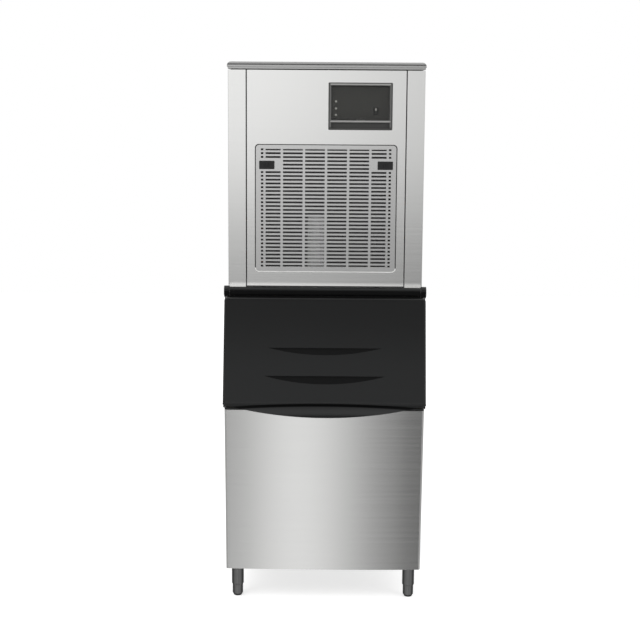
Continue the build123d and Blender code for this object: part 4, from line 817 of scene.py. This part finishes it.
def shadowed_scoops():
    """Paints shade on the two finger scoops and the door's side faces: painted shadow on the scoops' steep
    walls and on the sides, and a lighter painted shade on the scoops' floors.
    """
    door_out = Vector((0, -math.cos(DOOR_LEAN), math.sin(DOOR_LEAN)))
    side_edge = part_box("door")[1].x - SIDE_STRIP
    mesh = bpy.data.objects["door_soft"].data
    mesh.materials.append(scoop_painted_shade)
    for face in mesh.polygons:
        ahead = HINGE_Y - face.center.y
        fall = HINGE_Z - face.center.z
        out = ahead * math.cos(DOOR_LEAN) - fall * math.sin(DOOR_LEAN)
        down = ahead * math.sin(DOOR_LEAN) + fall * math.cos(DOOR_LEAN)
        at_scoops = SCOOP_TOP < down < SCOOP_FOOT and abs(face.center.x) < SCOOP_REACH
        if at_scoops and -SCOOP_DEEP < out < -SCOOP_SKIN:
            steep = abs(face.normal.dot(door_out)) < SCOOP_STEEP
            face.material_index = PAINTED_SHADOW_INDEX if steep else SCOOP_SHADE_INDEX
        if abs(face.normal.x) > SIDE_FACING and abs(face.center.x) > side_edge:
            face.material_index = PAINTED_SHADOW_INDEX


CAP_SHADOW = 1.8 * MM


def lifted_cap_edge():
    """Lets the cap's lower edge stand a little clear of the panels below it, for a line of shadow."""
    cap_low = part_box("top_cover")[0]
    for vertex in bpy.data.objects["top_cover_soft"].data.vertices:
        if vertex.co.z < cap_low.z + CAP_SHADOW:
            vertex.co.z += CAP_SHADOW


WEAVE_PITCH = 4.0 * MM
WEAVE_WIRE = 0.5 * MM


def filter_weave():
    """The filter's weave, in place of the plain sheet in the filter's frame."""
    low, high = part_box("filter_mesh")
    size = high - low
    weave = grown("filter_weave", WEAVE, spots("filter_weave", ()), black_weave, {
        "Wires Across": int(size.x / WEAVE_PITCH),
        "Wires Up": int(size.z / WEAVE_PITCH),
        "Pitch": WEAVE_PITCH,
        "Wire": WEAVE_WIRE,
        "Width": size.x,
        "Height": size.z,
        "Place": (low + high) / 2,
    })
    settle(weave, body_of(nodes["filter_mesh"])[0])
    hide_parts("filter_mesh")


def bars_along(name, points, edges, finish, half, node):
    """Rounded bars along the edges between points, with the body of a CAD node."""
    path = bpy.data.meshes.new(name)
    path.from_pydata(points, edges, [])
    piece = grown(name, BARS, path, finish, {"Half Width": half})
    settle(piece, body_of(nodes[node])[0])


BAND_INSET = 5.6 * MM
ROOF_INSET = 5.2 * MM
BAND_HALF = 2.8 * MM
POST_HALF = 2.6 * MM
BAND_SINK = 1.2 * MM
BAND_FOOT = 8.0 * MM
LEDGE_LIFT = 24.5 * MM


def control_bars():
    """Bars round the smoked cover in painted light: paler ones over and under it as a painted highlight, and
    darker ones beside it as painted shade.
    """
    low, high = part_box("control_bezel")
    y = low.y + BAND_SINK
    west = low.x + BAND_INSET
    east = high.x - BAND_INSET
    foot = low.z + BAND_FOOT
    ledge = low.z + LEDGE_LIFT
    roof = high.z - ROOF_INSET
    points = [(west, y, foot), (west, y, roof), (east, y, roof), (east, y, foot)]
    points += [(west, y, ledge), (east, y, ledge)]
    bars_along("control_bands", points, [(1, 2), (4, 5)], band_painted_highlight, BAND_HALF, "control_bezel")
    bars_along("control_posts", points, [(0, 1), (2, 3)], post_painted_shade, POST_HALF, "control_bezel")


BEAD_GAP = 0.5 * MM
BEAD_HALF = 1.3 * MM
BEAD_SINK = 1.1 * MM
BEAD_TURN = 11.5 * MM
BEAD_STEPS = 6


def bead_corner(x, y, z, way, start):
    """Points of a quarter turn about a middle, one way or the other, from a start angle in degrees."""
    points = []
    for step in range(BEAD_STEPS + 1):
        angle = math.radians(start + way * 90 * step / BEAD_STEPS)
        points.append((x + BEAD_TURN * math.cos(angle), y, z + BEAD_TURN * math.sin(angle)))
    return points


def grille_beads():
    """A thin bead round the grille in painted light: black as painted shadow over the top and the sides, pale
    and glowing as a painted highlight along the foot.
    """
    low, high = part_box("intake_grille")
    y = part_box("front_panel")[0].y + BEAD_SINK
    left = low.x - BEAD_GAP
    right = high.x + BEAD_GAP
    west = left + BEAD_TURN
    east = right - BEAD_TURN
    foot = low.z - BEAD_GAP + BEAD_TURN
    crown = high.z + BEAD_GAP - BEAD_TURN
    over = [(left, y, foot)]
    over += bead_corner(west, y, crown, -1, 180)
    over += bead_corner(east, y, crown, -1, 90)
    over.append((right, y, foot))
    under = bead_corner(west, y, foot, 1, 180) + bead_corner(east, y, foot, 1, 270)
    for part, points, finish in (("over", over, black_rubber_and_painted_shadow), ("foot", under, painted_highlight_bead)):
        edges = [(step, step + 1) for step in range(len(points) - 1)]
        bars_along(f"grille_bead_{part}", points, edges, finish, BEAD_HALF, "intake_grille")


def surface_of(name):
    """A search tree over a CAD node's faces."""
    mesh = nodes[name].data
    points = [vertex.co for vertex in mesh.vertices]
    return BVHTree.FromPolygons(points, [face.vertices for face in mesh.polygons])


# The mark's start and step are shares of the rocker's height
MARK_HALF = 1.1 * MM
MARK_LIFT = 0.25 * MM
MARK_SINK = 0.4 * MM
MARK_REACH = 50 * MM
MARK_ROWS = 6
MARK_START = 0.58
MARK_STEP = 0.06


def rocker_mark():
    """A plain white stroke that follows the rocker's face."""
    low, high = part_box("rocker_switch")
    surface = surface_of("rocker_switch")
    middle = (low.x + high.x) / 2
    form = bmesh.new()
    rings = []
    for step in range(MARK_ROWS):
        height = low.z + (high.z - low.z) * (MARK_START + MARK_STEP * step)
        row = []
        for across in (-MARK_HALF, MARK_HALF):
            ahead = Vector((middle + across, low.y - MARK_REACH, height))
            hit = surface.ray_cast(ahead, Vector((0, 1, 0)))[0]
            for depth in (-MARK_LIFT, MARK_SINK):
                row.append(form.verts.new((hit.x, hit.y + depth, hit.z)))
        rings.append((row[0], row[2], row[3], row[1]))
    ring_faces(form, rings)
    bmesh.ops.recalc_face_normals(form, faces=form.faces[:])
    mesh = mesh_from(form, "rocker_mark")
    mesh.materials.append(white_mark)
    settle(linked("rocker_mark", mesh), body_of(nodes["rocker_switch"])[0])


# Screw heads: the profile holds shares of the radius and the rise, and the places on the panels are
# shares of their height, or X for those along the top of the back
SCREW_PROFILE = ((1.0, -0.2), (1.0, 0.35), (0.86, 0.75), (0.55, 1.0), (0.42, 1.0), (0.36, 0.3), (0.1, 0.2))
SCREW_SIDES = 12
SCREW_RADIUS = 4.0 * MM
SCREW_RISE = 2.0 * MM
SCREW_EDGE = 14 * MM
BACK_SCREWS = (0.06, 0.35, 0.65, 0.94)
BACK_TOP_SCREWS = (-0.14, 0.0, 0.14)
SIDE_SCREWS = (0.05, 0.35, 0.65, 0.95)


def screw_form():
    """A round screw head with a recess, turned about the Z axis and standing on Z = 0."""
    form = bmesh.new()
    rings = []
    for radius, rise in SCREW_PROFILE:
        ring = []
        for step in range(SCREW_SIDES):
            angle = 2 * math.pi * step / SCREW_SIDES
            reach = radius * SCREW_RADIUS
            ring.append(form.verts.new((reach * math.cos(angle), reach * math.sin(angle), rise * SCREW_RISE)))
        rings.append(ring)
    ring_faces(form, rings)
    return linked("screw", mesh_from(form, "screw"))


HOOD_SHEET = 0.8 * MM
HOOD_ROWS = 6
HOOD_STEPS = 16
HOOD_END_POWER = 6
HOOD_SWELL = 1.6
LOUVRE_AHEAD = 300 * MM
LOUVRE_LENGTH = 126 * MM
LOUVRE_HEIGHT = 12 * MM
LOUVRE_PROUD = 3.4 * MM
LOUVRE_COUNT = 14
LOUVRE_PITCH = 20 * MM
LOUVRE_FALL = 105 * MM
LOUVRE_LIFT = 2 * MM


def hood_form():
    """One pressed louvre hood: it leans out towards its open foot. It stands on X = 0 and faces +X."""
    form = bmesh.new()
    rims = []
    for sink in (0.0, HOOD_SHEET):
        rows = []
        for row in range(HOOD_ROWS + 1):
            climb = row / HOOD_ROWS
            line = []
            for step in range(HOOD_STEPS + 1):
                along = -1 + 2 * step / HOOD_STEPS
                fade = 1 - abs(along) ** HOOD_END_POWER
                swell = math.sin(math.pi / 2 * min(1.0, (1 - climb) * HOOD_SWELL))
                out = LOUVRE_PROUD * swell * fade - sink
                line.append(form.verts.new((out, along * LOUVRE_LENGTH / 2, (climb - 0.5) * LOUVRE_HEIGHT)))
            rows.append(line)
        for low, high in zip(rows, rows[1:]):
            for step in range(HOOD_STEPS):
                form.faces.new((low[step], low[step + 1], high[step + 1], high[step]))
        rim = rows[0][:-1] + [line[-1] for line in rows[:-1]]
        rim += rows[-1][:0:-1] + [line[0] for line in rows[:0:-1]]
        rims.append(rim)
    for step in range(len(rims[0])):
        after = (step + 1) % len(rims[0])
        form.faces.new((rims[0][step], rims[0][after], rims[1][after], rims[1][step]))
    bmesh.ops.recalc_face_normals(form, faces=form.faces[:])
    return linked("louvre_hood", mesh_from(form, "louvre_hood"))


def screws_and_louvres():
    """Screws on the back and the sides, and pressed hoods over the side slots."""
    body = body_of(nodes["back_panel"])[0]
    screw = screw_form()
    hood = hood_form()

    def copies(name, places, finish, form, turn):
        """Copies of a form at places, on the back panel's body."""
        piece = grown(name, COPIES, spots(name, places), finish, {"Form": form, "Turn": turn})
        settle(piece, body)

    low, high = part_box("back_panel")
    places = []
    for share in BACK_SCREWS:
        for x in (low.x + SCREW_EDGE, high.x - SCREW_EDGE):
            places.append((x, high.y, low.z + (high.z - low.z) * share))
    for x in BACK_TOP_SCREWS:
        places.append((x, high.y, high.z - SCREW_EDGE))
    copies("screws_back", places, zinc, screw, (-math.pi / 2, 0, 0))

    low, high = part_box("side_panel_right")
    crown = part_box("top_cover")[1].z
    for side, out, turn in (("right", 1, 0), ("left", -1, math.pi)):
        x = out * high.x
        hoods = []
        for row in range(LOUVRE_COUNT):
            hoods.append((x, low.y + LOUVRE_AHEAD, crown - LOUVRE_FALL - row * LOUVRE_PITCH + LOUVRE_LIFT))
        copies(f"louvre_hoods_{side}", hoods, steel_front, hood, (0, 0, turn))
        screws = []
        for share in SIDE_SCREWS:
            screws.append((x, high.y - SCREW_EDGE, low.z + (high.z - low.z) * share))
        copies(f"screws_{side}", screws, zinc, screw, (0, out * math.pi / 2, 0))
    for form in (screw, hood):
        bpy.data.objects.remove(form)


# Threads: fitting, pitch and half the ridge's width
FITTINGS = (
    ("inlet_valve", 1.8 * MM, 0.7 * MM),
    ("bin_drain_fitting", 1.8 * MM, 0.7 * MM),
    ("head_drain_fitting", 4.0 * MM, 0.8 * MM),
)
SPOUT_END = 0.2 * MM
THREAD_SHORTER = 6 * MM
THREAD_START = 3 * MM


def thread(name, pitch, ridge):
    """A thread on the spout of a fitting that comes out of the back."""
    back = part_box("back_panel")[1].y
    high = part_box(name)[1]
    spout = [vertex.co for vertex in nodes[name].data.vertices if vertex.co.y > high.y - SPOUT_END]
    left = min(point.x for point in spout)
    right = max(point.x for point in spout)
    foot = min(point.z for point in spout)
    crown = max(point.z for point in spout)
    length = high.y - back - THREAD_SHORTER
    piece = grown("thread_" + name, THREADS, spots("thread", ()), nodes[name].data.materials[0], {
        "Radius": (right - left) / 2,
        "Turns": length / pitch,
        "Length": length,
        "Ridge": ridge,
        "Place": ((left + right) / 2, back + THREAD_START, (foot + crown) / 2),
    })
    settle(piece, body_of(nodes["back_panel"])[0])


# Camera, light and floor
image_camera()
studio()
floor()
for settings in LAMPS:
    lamp(*settings)
bpy.context.scene.view_settings.view_transform = "Standard"

# Finishes
GRAIN = grain_group()
MOULDING = moulding_group()
steel_front = brushed_steel("steel_front", BRUSHED_UPRIGHT)
steel_top = brushed_steel("steel_top", BRUSHED_LEVEL)
# The cap's steel is painted darker than the rest: painted shade.
steel_cap_painted_shade = brushed_steel("steel_cap_painted_shade", BRUSHED_LEVEL, CAP_PAINTED_SHADE_COLOUR, roughness=0.26)
black_hood = moulded("black_hood", BLACK_PLASTIC, roughness=0.34, relief=0.06)
# The door's finish carries a painted shadow along the crease and painted light towards its foot.
black_door = door_with_painted_light("black_door", BLACK_PLASTIC, roughness=0.34)
# Darker copies of the black plastic: painted shadow on the hinge and the door's sides, painted shade in the
# scoops.
painted_shadow_black = dulled_as_painted_shade(moulded("painted_shadow_black", (0.0022, 0.0023, 0.0024, 1), roughness=0.45), mirror=0.12)
# Painted shade for the floors of the finger scoops.
scoop_painted_shade = dulled_as_painted_shade(moulded("scoop_painted_shade", (0.0036, 0.0038, 0.0039, 1), roughness=0.4), mirror=0.3)
# Black rubber, also used as painted shadow on the bead over the grille.
black_rubber_and_painted_shadow = moulded("black_rubber_and_painted_shadow", (0.02, 0.02, 0.02, 1), roughness=0.7)
silver_plastic = metal_cast("silver_plastic", GRILLE_COLOUR, roughness=0.22, pebble=PEBBLE_SCALE, relief=0.04)
dark_grey_plastic = moulded("dark_grey_plastic", (0.055, 0.055, 0.053, 1), roughness=0.4)
# Lit and shaded greys of one bezel: painted highlight on the bands, painted shade on the posts.
band_painted_highlight = moulded("band_painted_highlight", (0.34, 0.34, 0.33, 1), roughness=0.3)
post_painted_shade = moulded("post_painted_shade", (0.13, 0.13, 0.127, 1), roughness=0.35)
plate_grey = moulded("plate_grey", (0.15, 0.15, 0.146, 1), roughness=0.45)
pale_lens = moulded("pale_lens", (0.62, 0.62, 0.60, 1), roughness=0.25)
white_mark = moulded("white_mark", (0.8, 0.8, 0.8, 1), roughness=0.45)
# Painted highlight for the bead along the grille's foot.
painted_highlight_bead = moulded("painted_highlight_bead", (0.60, 0.60, 0.59, 1), roughness=0.4)
receiver_paint = moulded("receiver_paint", (0.8, 0.8, 0.8, 1), roughness=0.4)
smoky = smoked_cover("smoked_cover")
dark_fin = metal_cast("dark_fin", (0.30, 0.30, 0.31, 1), roughness=0.5)
brass = metal_cast("brass", (0.62, 0.48, 0.24, 1), roughness=0.32)
black_weave = moulded("black_weave", (0.012, 0.012, 0.012, 1), roughness=0.6)
white_plastic = moulded("white_plastic", (0.75, 0.77, 0.78, 1), roughness=0.35)
black_latch = moulded("black_latch", (0.008, 0.008, 0.008, 1), roughness=0.35)
copper = metal_cast("copper", (0.75, 0.36, 0.2, 1), roughness=0.3)
zinc = metal_cast("zinc", (0.55, 0.56, 0.57, 1), roughness=0.4)
# The legs, hinge pins and float stem turn dark towards their rims: painted reflection.
leg_steel = metal_with_painted_rims("leg_steel", (0.30, 0.30, 0.30, 1), (0.02, 0.02, 0.02, 1), roughness=0.3)
black_paint = moulded("black_paint", (0.01, 0.01, 0.01, 1), roughness=0.3)
foam_yellow = moulded("foam_yellow", (0.7, 0.6, 0.3, 1), roughness=0.9)
# Painted light: the lenses, the rocker's mark, the grille's foot bead and the receiver glow, though none of
# them is a lamp.
for finish, tint, strength in (
    (pale_lens, (1, 1, 0.97, 1), 0.6), (white_mark, (1, 1, 0.97, 1), 1.0),
    (painted_highlight_bead, (1, 1, 0.98, 1), 0.3), (receiver_paint, WHITE, 0.12),
):
    painted_glow(finish, tint, strength)

CORNERS = [f"{end}_{side}" for end in ("front", "rear") for side in ("left", "right")]
give(steel_front, "front_panel", "side_panel_left", "side_panel_right", "back_panel")
give(steel_front, "bin_front_panel", "bin_shell")
give(steel_top, "top_deck")
give(dark_fin, "base_pan")
give(steel_cap_painted_shade, "top_cover")
give(black_hood, "door_frame")
give(black_door, "door")
give(black_rubber_and_painted_shadow, "door_gasket", "drop_ring", "compressor_mounts")
give(silver_plastic, "intake_grille", "filter_frame")
give(black_latch, "grille_latch_left", "grille_latch_right", "rocker_switch", "filter_mesh")
give(dark_grey_plastic, "control_bezel")
give(plate_grey, "control_plate")
give(smoky, "control_cover")
give(pale_lens, "indicator_lenses")
give(dark_fin, "condenser_fins")
give(brass, "inlet_valve", "hot_gas_valve")
give(white_plastic, "bin_liner", "ice_baffle", "splash_curtain", "water_trough")
give(white_plastic, "divider_wall", "level_float")
give(foam_yellow, "bin_foam")
give(copper, "condenser_tubes", "filter_drier", "level_probe")
give(zinc, "fan_shroud", "electrical_box", "evaporator")
give(leg_steel, *(f"{part}_{corner}" for part in ("leg", "foot") for corner in CORNERS))
give(leg_steel, "door_hinge_pins", "float_stem")
give(receiver_paint, "liquid_receiver")
give(black_paint, "fan_blade", "fan_motor", "compressor", "circulation_pump", "power_gland")
give(black_paint, "bin_drain_fitting", "head_drain_fitting", "water_distributor", "water_riser")

# Copies with soft edges stand for the nodes that show. Widths are in millimetres.
SOFT_EDGES = {
    "front_panel": 0.3, "side_panel_left": 0.3, "side_panel_right": 0.3, "back_panel": 0.3,
    "bin_front_panel": 0.4, "bin_shell": 0.4, "top_deck": 0.4, "top_cover": 0.5, "door": 0.8,
    "door_frame": 0.8, "intake_grille": 0.4, "control_bezel": 0.6, "grille_latch_left": 0.3,
    "grille_latch_right": 0.3, "rocker_switch": 0.3, "indicator_lenses": 0.2, "filter_frame": 0.4,
    "liquid_receiver": 0.4, "compressor": 0.4, "fan_blade": 0.3, "fan_motor": 0.4,
    "inlet_valve": 0.4, "head_drain_fitting": 0.3, "bin_drain_fitting": 0.3, "power_gland": 0.4,
    "door_hinge_pins": 0.4, "bin_liner": 0.5, "ice_baffle": 0.4, "splash_curtain": 0.4,
}
for corner in CORNERS:
    SOFT_EDGES[f"leg_{corner}"] = 0.4
    SOFT_EDGES[f"foot_{corner}"] = 0.5
for name, width in SOFT_EDGES.items():
    softened(name, width * MM)
shadowed_hinge()
shadowed_scoops()
lifted_cap_edge()

# The black door isn't mirrored in the steel above it, as in the photograph
for name in ("door_soft", "door_frame_soft", "door_hinge_pins_soft"):
    bpy.data.objects[name].visible_glossy = False

# Small pieces that the scene adds
WEAVE = weave_tree()
BARS = bars_tree()
COPIES = copies_tree()
THREADS = thread_tree()
filter_weave()
control_bars()
grille_beads()
rocker_mark()
screws_and_louvres()
for fitting in FITTINGS:
    thread(*fitting)
